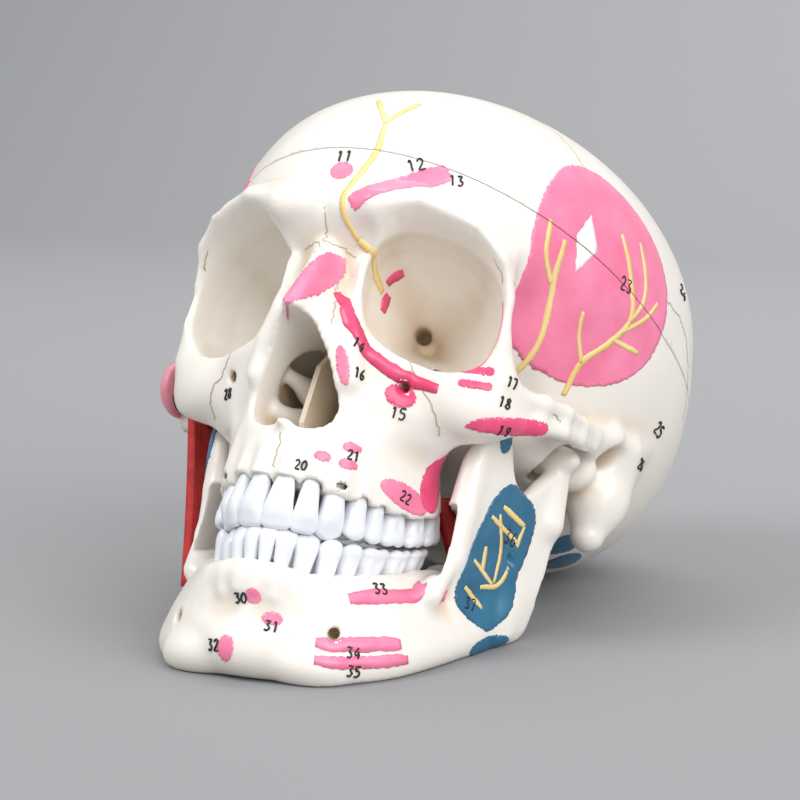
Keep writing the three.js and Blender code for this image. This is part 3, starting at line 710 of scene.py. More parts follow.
def tooth_top(kind, width, depth):
    """The height of the biting surface over the middle of the tooth, across (u) and out (v)."""
    def incisor(u, v):
        return -0.9 * (np.abs(u) / (0.5 * width)) ** 6 - 0.12 * v

    def canine(u, v):
        return 0.5 - 0.95 * np.abs(u) ** 1.2 / (0.36 * width)

    def grinder(u, v):
        across = -np.cos(2 * math.pi * v / (0.92 * depth))
        along = np.cos(2 * math.pi * u / (1.02 * width))
        if "pre" not in kind:
            along = -np.cos(4 * math.pi * u / (1.05 * width))
        return 0.62 * across + 0.34 * along - 0.75
    return incisor if "incisor" in kind else canine if kind == "canine" else grinder


def tooth_clay(kind, width, depth, crown):
    """A tooth standing on z = 0 at its biting edge, its root pointing down; x along the arch."""
    front = "incisor" in kind or kind == "canine"
    neck = min(0.62 * crown, 8.5 if not front else 9.8)
    heights = [-crown - 5, -crown, -neck - 1.5, -neck + 1, -0.55 * neck, -0.25 * neck, 0.5]
    if front:
        wide = [0.22, 0.35, 0.4, 0.44, 0.495, 0.51, 0.485]
        thick = [0.22, 0.38, 0.44, 0.47, 0.4, 0.26, 0.13]
        shift = [0, -0.02, 0, 0.02, 0.02, 0.0, -0.04]
    else:
        wide = [0.26, 0.38, 0.42, 0.455, 0.505, 0.51, 0.45]
        thick = [0.26, 0.38, 0.41, 0.45, 0.49, 0.47, 0.36]
        shift = [0] * 7
    clay = Clay((-width * 0.62, -depth * 0.62, -crown - 6), (width * 0.62, depth * 0.62, 2), TOOTH_GRID)
    x, y, z = np.meshgrid(*clay.axes, indexing="ij", sparse=True)

    def along(shares):
        fine = spline(np.array([heights, shares]).T, 6)
        return np.interp(z, fine[:, 0], fine[:, 1])
    half_wide, half_thick = along(wide) * width, along(thick) * depth
    middle = along(shift) * depth
    power = 2.3 if front else 2.8
    taper = 1 - 0.16 * np.clip(-(y - middle) / depth, 0, 1) * (1 if front else 0.4)
    ring = ((np.abs(x) / (half_wide * taper)) ** power
            + (np.abs(y - middle) / half_thick) ** power) ** (1 / power)
    body = (ring - 1) * np.minimum(half_wide, half_thick)
    top = z - tooth_top(kind, width, depth)(x, y)
    clay.field = -soft_min(-body, -top, 0.9 if front else 1.4)
    clay.field = np.maximum(clay.field, -crown - 4.5 - z).astype(np.float32)
    if "molar" in kind and "pre" not in kind:
        for side in (-1, 1):  # the roots part below the neck
            clay.cut(cone((0, side * depth * 0.6, -crown - 4),
                (0, side * depth * 0.47, -neck - 0.5), 1.7, 0.5), 1.6)
    return clay


def place_tooth(points, arch, index, side):
    """Takes a tooth's own points to its socket."""
    teeth, _, _, way = ARCHES[arch]
    _, _, depth, _ = teeth[index]
    place = tooth_places(arch)[index]
    u, v, w = points.T
    front = index < 3
    v = v + 0.06 * w * front - (0.7 if front and arch == "lower" else 0)
    u = u * (1 - (0.25 * depth - v) * place["bend"] * 0.7)
    w = w + OVERBITE[arch] * front
    out = place["out"]
    x = place["at"][0] + out[0] * (v - depth / 2) - out[1] * u
    y = place["at"][1] + out[1] * (v - depth / 2) + out[0] * u
    z = bite_height(y) - way * (BITE_GAP - w)
    return np.stack([side * x, y, z], axis=1)


def make_teeth(material):
    for arch in ("upper", "lower"):
        for index, (kind, width, depth, crown) in enumerate(ARCHES[arch][0]):
            points, quads = skin_of(tooth_clay(kind, width, depth, crown), mirror=False)
            for side, word in ((1, "left"), (-1, "right")):
                node = f"{arch}_{kind}_{word}"
                flip = (side > 0) == (arch == "upper")
                faces = quads if flip else quads[:, ::-1]
                piece = mesh_object(f"{node}_enamel", place_tooth(points, arch, index, side), faces)
                piece.data.materials.append(material)
                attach(piece, "cranium" if arch == "upper" else "lower_jaw")
                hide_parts(node)


# ---- Straps, pad and screws -------------------------------------------------------------------
STRAP_THICK = 3.0
RIB_PITCH = 1.7
# From, to, the way the width lies, width, and the side each end's screw head is on (1 is outward).
STRAPS = {
    "masseter_strap_right": ((-57, -41, -5), (-50.5, -31, -62), (0, 0.93, 0.36), 20, -1, 1),
    "medial_pterygoid_strap_left": ((25, -31.5, -27), (37, -23, -56), (0.1, 0.93, 0.3), 13, 1, -1),
    "medial_pterygoid_strap_right": ((-25, -31.5, -27), (-37, -23, -56), (-0.1, 0.93, 0.3), 13, 1, -1),
}
BOSS_RADIUS = 3.6
BOSS_LENGTH = 6.0


def strap_frame(name):
    """Width, thickness and length directions of a strap."""
    start, end, across = (np.array(v, float) for v in STRAPS[name][:3])
    w = (end - start) / np.linalg.norm(end - start)
    u = across - w * (w @ across)
    u /= np.linalg.norm(u)
    return u, np.cross(w, u), w


def ribbed_strap(name):
    """A flat elastic band with ribs along its length."""
    start, end, _, width = STRAPS[name][:4]
    start, end = np.array(start, float), np.array(end, float)
    u, v, _ = strap_frame(name)
    count = int(width / RIB_PITCH) * 6
    edge = np.linspace(-width / 2, width / 2, count)
    rib = 0.5 * np.abs(np.sin(math.pi * edge / RIB_PITCH)) - 0.5
    half = STRAP_THICK / 2 + rib
    ring = np.array([*zip(edge, half), *zip(edge[::-1], -half[::-1])])
    steps = 24
    points = []
    for t in np.linspace(0, 1, steps + 1):
        middle = start + (end - start) * t
        waist = 1 - 0.1 * math.sin(math.pi * t)
        points += [middle + u * a * waist + v * b for a, b in ring]
    n = len(ring)
    quads = [(r * n + i, r * n + (i + 1) % n, (r + 1) * n + (i + 1) % n, (r + 1) * n + i)
             for r in range(steps) for i in range(n)]
    for base, turn in ((0, 1), (steps * n, -1)):
        for i in range(n // 2 - 1):
            cap = (base + i, base + n - 1 - i, base + n - 2 - i, base + i + 1)
            quads.append(cap[::turn])
    return points, quads


def screw_places(end_wanted):
    """Where the boss behind each screw starts, and which way it runs."""
    for name, (start, end, _, _, *faces) in STRAPS.items():
        share, face = ((0.1, faces[0]), (0.9, faces[1]))[end_wanted == "lower"]
        into = strap_frame(name)[1]
        if into[0] * math.copysign(1, start[0]) * face > 0:
            into = -into
        middle = np.array(start, float) * (1 - share) + np.array(end, float) * share
        yield middle + into * (STRAP_THICK / 2 + SAW_GAP), into


def bosses(end, sides=20):
    """Studs of bone that the strap screws bite into, as points and quads."""
    points, quads = [], []
    for foot, into in screw_places(end):
        across = np.cross(into, (0, 0, 1.0))
        across /= np.linalg.norm(across)
        up = np.cross(into, across)
        base = len(points)
        rows = ((0, 0.2), (0, BOSS_RADIUS - 0.4), (0.4, BOSS_RADIUS), (BOSS_LENGTH, BOSS_RADIUS),
            (BOSS_LENGTH, 0.2))
        for along, radius in rows:
            for k in range(sides):
                a = 2 * math.pi * k / sides
                points.append(foot + into * along + (across * math.cos(a) + up * math.sin(a)) * radius)
        for r in range(len(rows) - 1):
            for k in range(sides):
                m = (k + 1) % sides
                quads.append((base + r * sides + k, base + (r + 1) * sides + k,
                              base + (r + 1) * sides + m, base + r * sides + m))
    return np.array(points), np.array(quads)


def make_straps(red):
    for name, (start, end, *_) in STRAPS.items():
        piece = mesh_object(f"{name}_band", *ribbed_strap(name))
        piece.data.materials.append(red)
        TO_WORLD @ Vector(end)
        TO_WORLD @ Vector(start)
        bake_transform(piece)
        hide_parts(name)


def make_pad(pink):
    """A soft cushion over the right cheek arch, hugging the bone on its inner side."""
    clay = Clay((-74, -58, -18), (-60, -30, 10), 0.6)
    clay.add(ball((-65.2, -44, -2.6), (5.6, 10, 9.2)), 1)
    clay.cut(ball((-61, -44, -3), (4.2, 16, 12)), 1)
    points, quads = skin_of(clay, mirror=False)
    piece = mesh_object("masseter_pad_right_cushion", points, quads)
    piece.data.materials.append(pink)
    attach(piece, "cranium")
    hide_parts("masseter_pad_right")


# ---- Paint ------------------------------------------------------------------------------------
# Every mark is a thin closed film on the bone. Coordinates are skull millimetres.
LAYER = {"pink": 0.2, "deep_pink": 0.22, "blue": 0.26, "white": 0.27, "yellow": 0.36, "ink": 0.4,
    "suture": 0.1}
FILM_DEPTH = 0.35
# Ovals: colour, surface, the side they are seen from, centre there, half sizes, lean in degrees, and
# squareness (1 is a diamond, 2 an ellipse). A centre is (y, z) from a side and (x, z) from the front.
TEMPLE = ((-30, 46), (32, 33), 0, 2)
BRANCH = ((-35, -44), (12.5, 21.5), -13, 3.2)
OVALS = [
    ("pink", "cranium", "left", *TEMPLE),
    ("pink", "cranium", "right", (-36, 46), (39, 30), 0, 2),
    ("white", "cranium", "left", (-43.5, 51), (4.5, 10), -10, 1),
    ("blue", "lower_jaw", "left", *BRANCH),
    ("blue", "lower_jaw", "left", (-46, -12), (2.6, 3.6), 0, 2),
    ("blue", "lower_jaw", "left", (-30, -69), (9, 2.6), 25, 2),
    ("blue", "lower_jaw", "right", (-51, -23), (4.5, 10), 0, 2),
    ("blue", "cranium", "left", (29, -22), (5, 3), 0, 2),
    ("blue", "cranium", "left", (42, -24), (6, 2.6), 0, 2),
    ("blue", "cranium", "right", (29, -22), (5, 3), 0, 2),
    ("deep_pink", "cranium", "left", (-56, -29), (5.5, 9), 0, 2.5),
    ("pink", "cranium", "left", (-66, -37), (9, 3.4), -8, 2),
    ("pink", "cranium", "front", (1.5, 51), (3.4, 2.8), 0, 2),
    ("pink", "cranium", "front", (2, 16), (3.4, 10.5), -14, 2.5),
    ("pink", "cranium", "front", (14, -7), (1.7, 5.5), 18, 2),
    ("deep_pink", "cranium", "front", (27.5, -11), (3.8, 3.2), 0, 2),
    ("pink", "cranium", "front", (19.5, 47.5), (13.5, 3), 39, 6),
    ("deep_pink", "cranium", "front", (46.5, 0), (4.5, 1.2), 4, 4),
    ("deep_pink", "cranium", "front", (47, -4.5), (4.2, 1.1), 4, 4),
    ("deep_pink", "cranium", "left", (-60, -12), (11, 2.4), 17, 3),
]
# Strips along the rim of the left orbit: colour, width, from and to in degrees, outside and inside the rim.
RIM_STRIPS = [("deep_pink", 4.2, 194, 282, 6, -3), ("deep_pink", 2.6, 22, -52, 1, 0),
    ("deep_pink", 3.8, 130, 152, 0, 19),
              ("deep_pink", 3.8, 158, 182, 0, 22)]
# Strips along the body of the jaw: colour, width, from and to along JAW_BODY, share of the way up to its rim.
BODY_STRIPS = [("pink", 4.6, 1.2, 3.6, 0.8), ("pink", 4.2, 2.7, 4.3, 0.24), ("pink", 3.6, 2.5, 4.4, 0.02)]
# Round dabs under or over a tooth: arch, tooth, side, distance past the neck, half sizes.
ROOT_DABS = [("upper", 1, 1, 9, (1.9, 1.5)), ("upper", 2, 1, 6.5, (1.9, 1.5)),
    ("upper", 2, 1, 11.5, (1.9, 1.5)),
             ("lower", 0, 1, 11, (2, 1.9)), ("lower", 1, 1, 15, (3, 1.9)), ("lower", 0, -1, 26, (2.6, 3.4))]
# Nerves: the forehead's from the front as (x, z), and the others as shares of the patch they lie on.
NERVE = "yellow"
FOREHEAD_NERVES = [(1.7, [(8.5, 69), (10, 58), (6.5, 46), (7, 36), (10, 31)]), (1.6, [(0, 80), (8.5, 69)]),
                   (1.5, [(13, 80), (8.5, 69)])]
TEMPLE_NERVES = [
    (2.0, [(-0.25, -1.08), (-0.35, -0.75), (-0.5, -0.4), (-0.62, -0.2), (-0.68, 0.08)]),
    (1.6, [(-0.58, -0.3), (-0.82, -0.1), (-0.85, 0.2)]),
    (2.2, [(0.15, -1.1), (0.1, -0.8), (0.25, -0.55), (0.38, -0.28), (0.26, 0.05), (0.08, 0.45)]),
    (1.7, [(0.38, -0.28), (0.52, 0.02), (0.42, 0.5)]),
    (1.5, [(0.32, -0.42), (0.62, -0.15), (0.78, 0.05)]), (1.5, [(0.28, -0.5), (0.68, -0.48)]),
    (1.4, [(0.1, -0.8), (-0.1, -0.6), (-0.22, -0.42)]),
]
BRANCH_NERVES = [
    (1.7, [(-0.5, 0.62), (0.5, 0.66)]), (1.5, [(0.5, 0.66), (0.62, 0.2), (0.5, -0.25), (-0.1, -0.5)]),
    (1.5, [(-0.75, 0.38), (0.55, 0.4)]), (1.4, [(-0.5, 0.5), (0.05, 0.15), (0.3, -0.3)]),
    (1.8, [(-0.5, 0), (-0.25, -0.32)]), (1.3, [(-0.7, -0.28), (0.3, -0.34)]), (1.5, [(-0.6, -0.66),
        (0.2, -0.72)]),
]
# Sutures: width, whether the right side has one too, and points in skull millimetres.
SUTURES = [
    (0.45, False, [(0, -92, 40), (0.5, -91, 33), (0, -90, 28)]),
    (0.4, False, [(-8, -88, 28), (-3, -90, 29), (0, -90, 28), (4, -90, 29), (9, -87, 27)]),
    (0.4, False, [(0, -90, 28), (0, -95, 17), (0, -101, 8)]),
    (0.4, False, [(7, -89, 26), (7.5, -91, 14), (8.5, -93, 4)]),
    (0.45, False, [(0, -92, -28), (0.4, -91, -35), (0, -91, -41)]),
    (0.45, True, [(29, -80, -1), (32, -77, -7), (36, -73, -12), (37, -68, -19)]),
    (0.45, True, [(45, -79, 28), (49, -73, 27), (50, -66, 28)]),
    (0.45, False, [(58, -50, -1), (61, -44, -4), (61, -38, -9)]),
    (0.5, True, [(0, -42, 101), (20, -36, 99), (40, -34, 88), (54, -38, 68), (60, -42, 48), (60, -43, 30)]),
    (0.5, False, [(0, -42, 101), (0, -10, 107), (0, 25, 106), (0, 52, 94), (0, 70, 80)]),
    (0.5, True, [(0, 70, 80), (20, 70, 70), (38, 66, 52), (50, 58, 30), (55, 45, 12)]),
    (0.5, True, [(58, -34, 18), (64, -26, 38), (69, -5, 50), (69, 18, 48), (66, 34, 32), (62, 40, 14)]),
]

# Handwritten numbers: text, surface, where, height, and degrees they lean.
NUMBERS = [
    ("11", "cranium", (1, -93, 56), 3.6, 4), ("12", "cranium", (22, -88, 56), 3.8, 24),
        ("13", "cranium", (33, -82, 54), 3.2, 10),
    ("14", "cranium", (17, -89, 0), 3, -20), ("15", "cranium", (28, -78, -16), 3.2, 0),
        ("16", "cranium", (18, -87, -8), 3, 0),
    ("17", "cranium", (53, -66, -1), 3, 0), ("18", "cranium", (53, -66, -7), 3, 0),
        ("19", "cranium", (54, -63, -14.5), 3.2, 8),
    ("20", "cranium", (8, -91, -37), 2.8, 0), ("21", "cranium", (20, -84, -31), 2.8, 0),
        ("22", "cranium", (29, -66, -37), 3, -10),
    ("23", "cranium", (66, -24, 46), 4.2, 0), ("24", "cranium", (69, 17, 60), 4, -30),
        ("25", "cranium", (68, 20, 15), 4, -14),
    ("26", "cranium", (62, 12, 2), 3.4, 0), ("27", "cranium", (-53, -62, -12), 3.6, 0),
        ("28", "cranium", (-30, -80, -14), 3, 0),
    ("30", "lower_jaw", (-1, -93, -77), 3, 0), ("31", "lower_jaw", (9, -89, -83), 3, 0),
        ("32", "lower_jaw", (-7, -90, -90), 3.2, 0),
    ("33", "lower_jaw", (30, -71, -65), 3.4, 14), ("34", "lower_jaw", (30, -79, -85.5), 3, 8),
        ("35", "lower_jaw", (31, -78, -90.5), 3, 8),
    ("36", "lower_jaw", (50, -31, -37), 4.2, 0), ("37", "lower_jaw", (46, -42, -60), 3.4, 0),
        ("38", "cranium", (58, 30, -10), 3.4, 0),
]
DIGITS = {
    "0": [[(0.5, 1), (0.1, 0.7), (0.1, 0.25), (0.5, 0), (0.85, 0.3), (0.85, 0.75), (0.5, 1)]],
    "1": [[(0.25, 0.8), (0.5, 1), (0.5, 0)]],
    "2": [[(0.1, 0.75), (0.4, 1), (0.8, 0.8), (0.6, 0.45), (0.1, 0), (0.9, 0.02)]],
    "3": [[(0.1, 0.95), (0.8, 0.95), (0.4, 0.58), (0.85, 0.35), (0.5, 0), (0.08, 0.1)]],
    "4": [[(0.65, 1), (0.08, 0.35), (0.9, 0.35)], [(0.66, 0.65), (0.62, 0)]],
    "5": [[(0.85, 1), (0.2, 1), (0.15, 0.6), (0.65, 0.6), (0.85, 0.3), (0.5, 0), (0.08, 0.08)]],
    "6": [[(0.75, 1), (0.2, 0.55), (0.15, 0.15), (0.5, 0), (0.85, 0.25), (0.55, 0.5), (0.2, 0.35)]],
    "7": [[(0.1, 0.98), (0.88, 1), (0.4, 0)]],
    "8": [[(0.5, 0.55), (0.15, 0.8), (0.5, 1), (0.8, 0.8), (0.5, 0.55), (0.1, 0.25), (0.5, 0),
        (0.88, 0.25), (0.5, 0.55)]],
    "9": [[(0.8, 0.75), (0.45, 0.5), (0.15, 0.75), (0.5, 1), (0.8, 0.75), (0.6, 0)]],
}
INK_WIDTH = 0.5
STEP = 1.0  # between the points of a stroke
WOBBLE = 0.08  # of a brush, in millimetres
rng = random.Random(7)


def unit(v):
    return v / (np.linalg.norm(v) + 1e-9)


def hug(tree, point):
    """The nearest point of the bone, and the way its surface faces there."""
    where, normal, _, _ = tree.find_nearest(Vector(point))
    return np.array(where), np.array(normal)


def seen_from(side, a, b):
    """A point well outside the bone on one side of it, and the way inward."""
    if side == "front":
        return Vector((a, -130, b)), Vector((0, 1, 0))
    sign = 1 if side == "left" else -1
    return Vector((sign * 100, a, b)), Vector((-sign, 0, 0))


def spot_on(tree, side, a, b):
    """Where the bone is first met from one side, or the nearest bone when that misses."""
    start, inward = seen_from(side, a, b)
    where, _, _, _ = tree.ray_cast(start, inward, 200)
    return np.array(where) if where else hug(tree, start + inward * 60)[0]


def share_of(oval, u, v):
    """The point of an oval's own square at shares u and v of its half sizes."""
    centre, half, lean, _ = oval
    a = math.radians(lean)
    along, rise = u * half[0], v * half[1]
    first = centre[0] + along * math.cos(a) - rise * math.sin(a)
    return first, centre[1] + along * math.sin(a) + rise * math.cos(a)


def oval_ring(oval, count=24):
    """A superellipse, as shares turned into places."""
    power = 2 / oval[3]
    for a in np.arange(count) * 2 * math.pi / count:
        u, v = math.cos(a), math.sin(a)
        yield share_of(oval, math.copysign(abs(u) ** power, u), math.copysign(abs(v) ** power, v))


def rim_spot(degrees, out, depth):
    """A point at an angle round the left orbit, outside its rim or down inside it."""
    axis, across, up = orbit_frame()
    u = math.cos(math.radians(degrees)) * (np.interp(depth, ORBIT_DEPTH, ORBIT_HALF_WIDE) + out)
    v = math.sin(math.radians(degrees)) * (np.interp(depth, ORBIT_DEPTH, ORBIT_HALF_HIGH) + out)
    v -= ORBIT_DROOP * u
    return ORBIT_RIM + axis * depth + across * u + up * v


def body_spot(along, share, outside=9):
    """A point beside the left half of the jaw's body, at a share of the way up to its rim."""
    rows = np.array(JAW_BODY, float)
    line = rows[:, 0] * (1 - share) + rows[:, 1] * share

    def at(t):
        return np.array([np.interp(t, range(len(line)), line[:, k]) for k in range(3)])

    spot, ahead = at(along), at(along + 0.3)
    out = np.cross(unit(ahead - spot), (0, 0, 1.0))
    out *= math.copysign(1, out @ (spot - (0, -40, spot[2])))
    return spot + unit(out) * outside


def root_spot(arch, index, side, past):
    """The front-view place over a tooth's root, past its neck."""
    place, way = tooth_places(arch)[index], ARCHES[arch][3]
    middle = place["at"]
    return side * middle[0], bite_height(middle[1]) + way * -1 * (ARCHES[arch][0][index][3] + past)


class Film:
    """Gathers thin closed films of one colour on one surface."""
    def __init__(self, tree, lift):
        self.tree, self.lift = tree, lift
        self.points, self.faces = [], []

    def add(self, spots, triangles):
        """Spots are (point on the bone, normal) pairs; triangles face outward."""
        n, base = len(spots), len(self.points)
        self.points += [p + f * self.lift for p, f in spots] + [p - f * FILM_DEPTH for p, f in spots]
        edges = {}
        for a, b, c in triangles:
            self.faces += [(base + a, base + b, base + c), (base + n + c, base + n + b, base + n + a)]
            for edge in ((a, b), (b, c), (c, a)):
                edges[edge] = edge[::-1]
        for (a, b), back in edges.items():
            if back not in edges:
                self.faces += [(base + b, base + a, base + n + a), (base + b, base + n + a, base + n + b)]

    def area(self, outline, step=1.0, ragged=0.3, smooth=True):
        """Fills an outline, laid on the bone along its mean facing."""
        control = [hug(self.tree, p) for p in outline]
        facing = unit(sum(f for _, f in control))
        corners = np.array([p for p, _ in control])
        if smooth:
            loop = spline(corners, 10, closed=True)
        else:
            ahead = np.roll(corners, -1, axis=0)
            loop = np.concatenate([a + (b - a) * np.linspace(0, 1, 10, endpoint=False)[:, None]
                                   for a, b in zip(corners, ahead)])
        middle = loop.mean(axis=0)
        right = unit(np.cross((0, 0, 1.0) if abs(facing[2]) < 0.9 else (0, 1.0, 0), facing))
        up = np.cross(facing, right)
        flat = np.stack([(loop - middle) @ right, (loop - middle) @ up], axis=1)
        flat += [(rng.uniform(-ragged, ragged), rng.uniform(-ragged, ragged)) for _ in flat]
        low, high = flat.min(axis=0), flat.max(axis=0)
        u, v = np.meshgrid(np.arange(low[0], high[0], step), np.arange(low[1], high[1], step))
        inside = outline_distance(u, v, flat) < -0.4 * step
        inner = np.stack([u[inside], v[inside]], axis=1)
        rim = [(i, (i + 1) % len(flat)) for i in range(len(flat))]
        every = [Vector(p) for p in np.vstack([flat, inner])]
        verts, _, tris, *_ = delaunay_2d_cdt(every, rim, [], 1, 1e-4)
        depth = (loop - middle) @ facing
        reach = 6 + depth.max() - depth.min()
        spots = []
        for q in verts:
            start = middle + right * q[0] + up * q[1] + facing * (depth.max() + reach)
            where, normal, _, _ = self.tree.ray_cast(Vector(start), Vector(-facing), 3 * reach)
            flat_spot = middle + right * q[0] + up * q[1]
            spots.append((np.array(where), np.array(normal)) if where else hug(self.tree, flat_spot))
        self.add(spots, tris)

    def stroke(self, points, width, step=1.0, wobble=0.0, taper=0.3):
        """A ribbon along a curve through points."""
        line = np.array(points, float)
        line = spline(line, 12) if len(line) > 2 else np.linspace(line[0], line[-1], 12)
        length = np.concatenate([[0], np.cumsum(np.linalg.norm(np.diff(line, axis=0), axis=1))])
        count = max(4, int(length[-1] / step))
        at = np.linspace(0, length[-1], count + 1)
        line = np.stack([np.interp(at, length, line[:, a]) for a in range(3)], axis=1)
        middle = []
        for p in line:
            stray = np.array([rng.uniform(-wobble, wobble) for _ in range(3)])
            middle.append(hug(self.tree, p + stray))
        spots, triangles = [], []
        for i, (p, f) in enumerate(middle):
            run = unit(middle[min(i + 1, count)][0] - middle[max(i - 1, 0)][0])
            side = unit(np.cross(f, run))
            end = min(i, count - i) / (0.12 * count + 1)
            half = 0.5 * width * (1 - taper * max(0, 1 - end)) * rng.uniform(0.88, 1.1)
            spots += [hug(self.tree, p + side * half), (p, f), hug(self.tree, p - side * half)]
            if i:
                a, b = 3 * (i - 1), 3 * i
                for k in (0, 1):
                    triangles += [(a + k, a + k + 1, b + k + 1), (a + k, b + k + 1, b + k)]
        self.add(spots, triangles)

    def number(self, text, at, height, lean):
        where, facing = hug(self.tree, at)
        up = unit(np.array((0, 0, 1.0)) - facing * facing[2])
        right = np.cross(up, facing)
        a = math.radians(lean)
        right, up = right * math.cos(a) + up * math.sin(a), up * math.cos(a) - right * math.sin(a)
        for place, digit in enumerate(text):
            for line in DIGITS[digit]:
                curve = [where + right * height * (0.62 * u + 0.75 * place - 0.7) + up * height * (v - 0.5)
                         for u, v in line]
                self.stroke(curve, INK_WIDTH, 0.6, 0.02, 0)


def paint_films(trees):
    """All marks, as one film for each colour on each surface."""
    films = {}

    def film(colour, surface):
        return films.setdefault((colour, surface), Film(trees[surface], LAYER[colour]))
    def from_side(surface, side, places):
        return [spot_on(trees[surface], side, *place) for place in places]
    for colour, surface, side, *oval in OVALS:
        sharp = oval[3] == 1
        ring = oval_ring(oval, 4 if sharp else 24)
        film(colour, surface).area(from_side(surface, side, ring), smooth=not sharp)
    for arch, index, side, past, half in ROOT_DABS:
        surface = "cranium" if arch == "upper" else "lower_jaw"
        ring = oval_ring((root_spot(arch, index, side, past), half, 0, 2), 8)
        film("pink", surface).area(from_side(surface, "front", ring), 0.8, 0.25)
    for colour, width, first, last, out, depth in RIM_STRIPS:
        points = [rim_spot(a, out, depth) for a in np.linspace(first, last, 6)]
        film(colour, "cranium").stroke(points, width, STEP, WOBBLE)
    for colour, width, first, last, share in BODY_STRIPS:
        points = [body_spot(t, share) for t in np.linspace(first, last, 5)]
        film(colour, "lower_jaw").stroke(points, width, STEP, WOBBLE)
    for width, places in FOREHEAD_NERVES:
        film(NERVE, "cranium").stroke(from_side("cranium", "front", places), width, STEP, WOBBLE)
    into_orbit = [rim_spot(154 + depth / 2, 0, depth) for depth in (1, 7, 13, 19)]
    into_orbit.insert(0, spot_on(trees["cranium"], "front", 10, 31))
    film(NERVE, "cranium").stroke(into_orbit, 2.4, STEP, WOBBLE)
    for nerves, oval, surface in ((TEMPLE_NERVES, TEMPLE, "cranium"), (BRANCH_NERVES, BRANCH, "lower_jaw")):
        for width, shares in nerves:
            places = [share_of(oval, u, v) for u, v in shares]
            film(NERVE, surface).stroke(from_side(surface, "left", places), width, STEP, WOBBLE)
    for width, paired, points in SUTURES:
        for side in (1, -1) if paired else (1,):
            film("suture", "cranium").stroke([(side * x, y, z) for x, y, z in points], width, STEP, 0.5)
    for text, surface, at, height, lean in NUMBERS:
        film("ink", surface).number(text, at, height, lean)
    return films


# ---- Materials --------------------------------------------------------------------------------
def node_material(name, roughness, coat=0.0, metallic=0.0):
    material = bpy.data.materials.new(name)
    material.use_nodes = True
    shader = material.node_tree.nodes["Principled BSDF"]
    shader.inputs["Roughness"].default_value = roughness
    shader.inputs["Coat Weight"].default_value = coat
    shader.inputs["Coat Roughness"].default_value = 0.12
    shader.inputs["Metallic"].default_value = metallic
    return material, material.node_tree.nodes, material.node_tree.links, shader


def plain_material(name, color, roughness, coat=0.0, metallic=0.0):
    material, _, _, shader = node_material(name, roughness, coat, metallic)
    shader.inputs["Base Color"].default_value = (*color, 1)
    return material


def noise(nodes, links, scale, detail=3.0):
    texture = nodes.new("ShaderNodeTexNoise")
    texture.inputs["Scale"].default_value = scale
    texture.inputs["Detail"].default_value = detail
    where = nodes.new("ShaderNodeTexCoord")
    links.new(where.outputs["Object"], texture.inputs["Vector"])
    return texture.outputs["Fac"]


def ramp(nodes, links, value, stops):
    """A colour ramp driven by a value; stops are (position, colour)."""
    node = nodes.new("ShaderNodeValToRGB")
    elements = node.color_ramp.elements
    while len(elements) < len(stops):
        elements.new(0.5)
    for element, (position, color) in zip(elements, stops):
        element.position = position
        element.color = (*color, 1)
    links.new(value, node.inputs["Fac"])
    return node.outputs["Color"]


def bump(nodes, links, shader, height, strength, distance):
    node = nodes.new("ShaderNodeBump")
    node.inputs["Strength"].default_value = strength
    node.inputs["Distance"].default_value = distance
    links.new(height, node.inputs["Height"])
    links.new(node.outputs["Normal"], shader.inputs["Normal"])


def bone_material():
    """Glossy ivory with a faint unevenness, and painted shade: a warm beige mixed in where the hollow
    attribute marks enclosed bone.
    """
    material, nodes, links, shader = node_material("bone", 0.36, coat=0.35)
    ivory = ramp(nodes, links, noise(nodes, links, 22), [(0.35, (0.84, 0.79, 0.715)),
        (0.65, (0.885, 0.84, 0.775))])
    hollow = nodes.new("ShaderNodeAttribute")
    hollow.attribute_name = "hollow"
    mix = nodes.new("ShaderNodeMix")
    mix.data_type = "RGBA"
    links.new(hollow.outputs["Fac"], mix.inputs["Factor"])
    links.new(ivory, mix.inputs["A"])
    # Painted shade: the warm beige that stands in for the shade in hollows and crevices.
    mix.inputs["B"].default_value = (0.72, 0.58, 0.42, 1)
    links.new(mix.outputs["Result"], shader.inputs["Base Color"])
    bump(nodes, links, shader, noise(nodes, links, 160, 5), 0.12, 0.0006)
    return material


def enamel_material():
    material, nodes, links, shader = node_material("enamel", 0.22, coat=0.4)
    color = ramp(nodes, links, noise(nodes, links, 60), [(0.3, (0.76, 0.78, 0.83)),
        (0.7, (0.84, 0.86, 0.90))])
    links.new(color, shader.inputs["Base Color"])
    return material


def paint_material(name, dark, light, roughness, scale=90):
    """Brushed acrylic: uneven in colour and gloss."""
    material, nodes, links, shader = node_material(name, roughness, coat=0.25)
    links.new(ramp(nodes, links, noise(nodes, links, scale, 6), [(0.32, dark),
        (0.68, light)]), shader.inputs["Base Color"])
    bump(nodes, links, shader, noise(nodes, links, scale * 3, 4), 0.15, 0.0003)
    return material


def steel_material():
    material, nodes, links, shader = node_material("brushed_steel", 0.32, metallic=1.0)
    color = ramp(nodes, links, noise(nodes, links, 400), [(0.3, (0.50, 0.51, 0.52)),
        (0.7, (0.64, 0.65, 0.66))])
    links.new(color, shader.inputs["Base Color"])
    return material


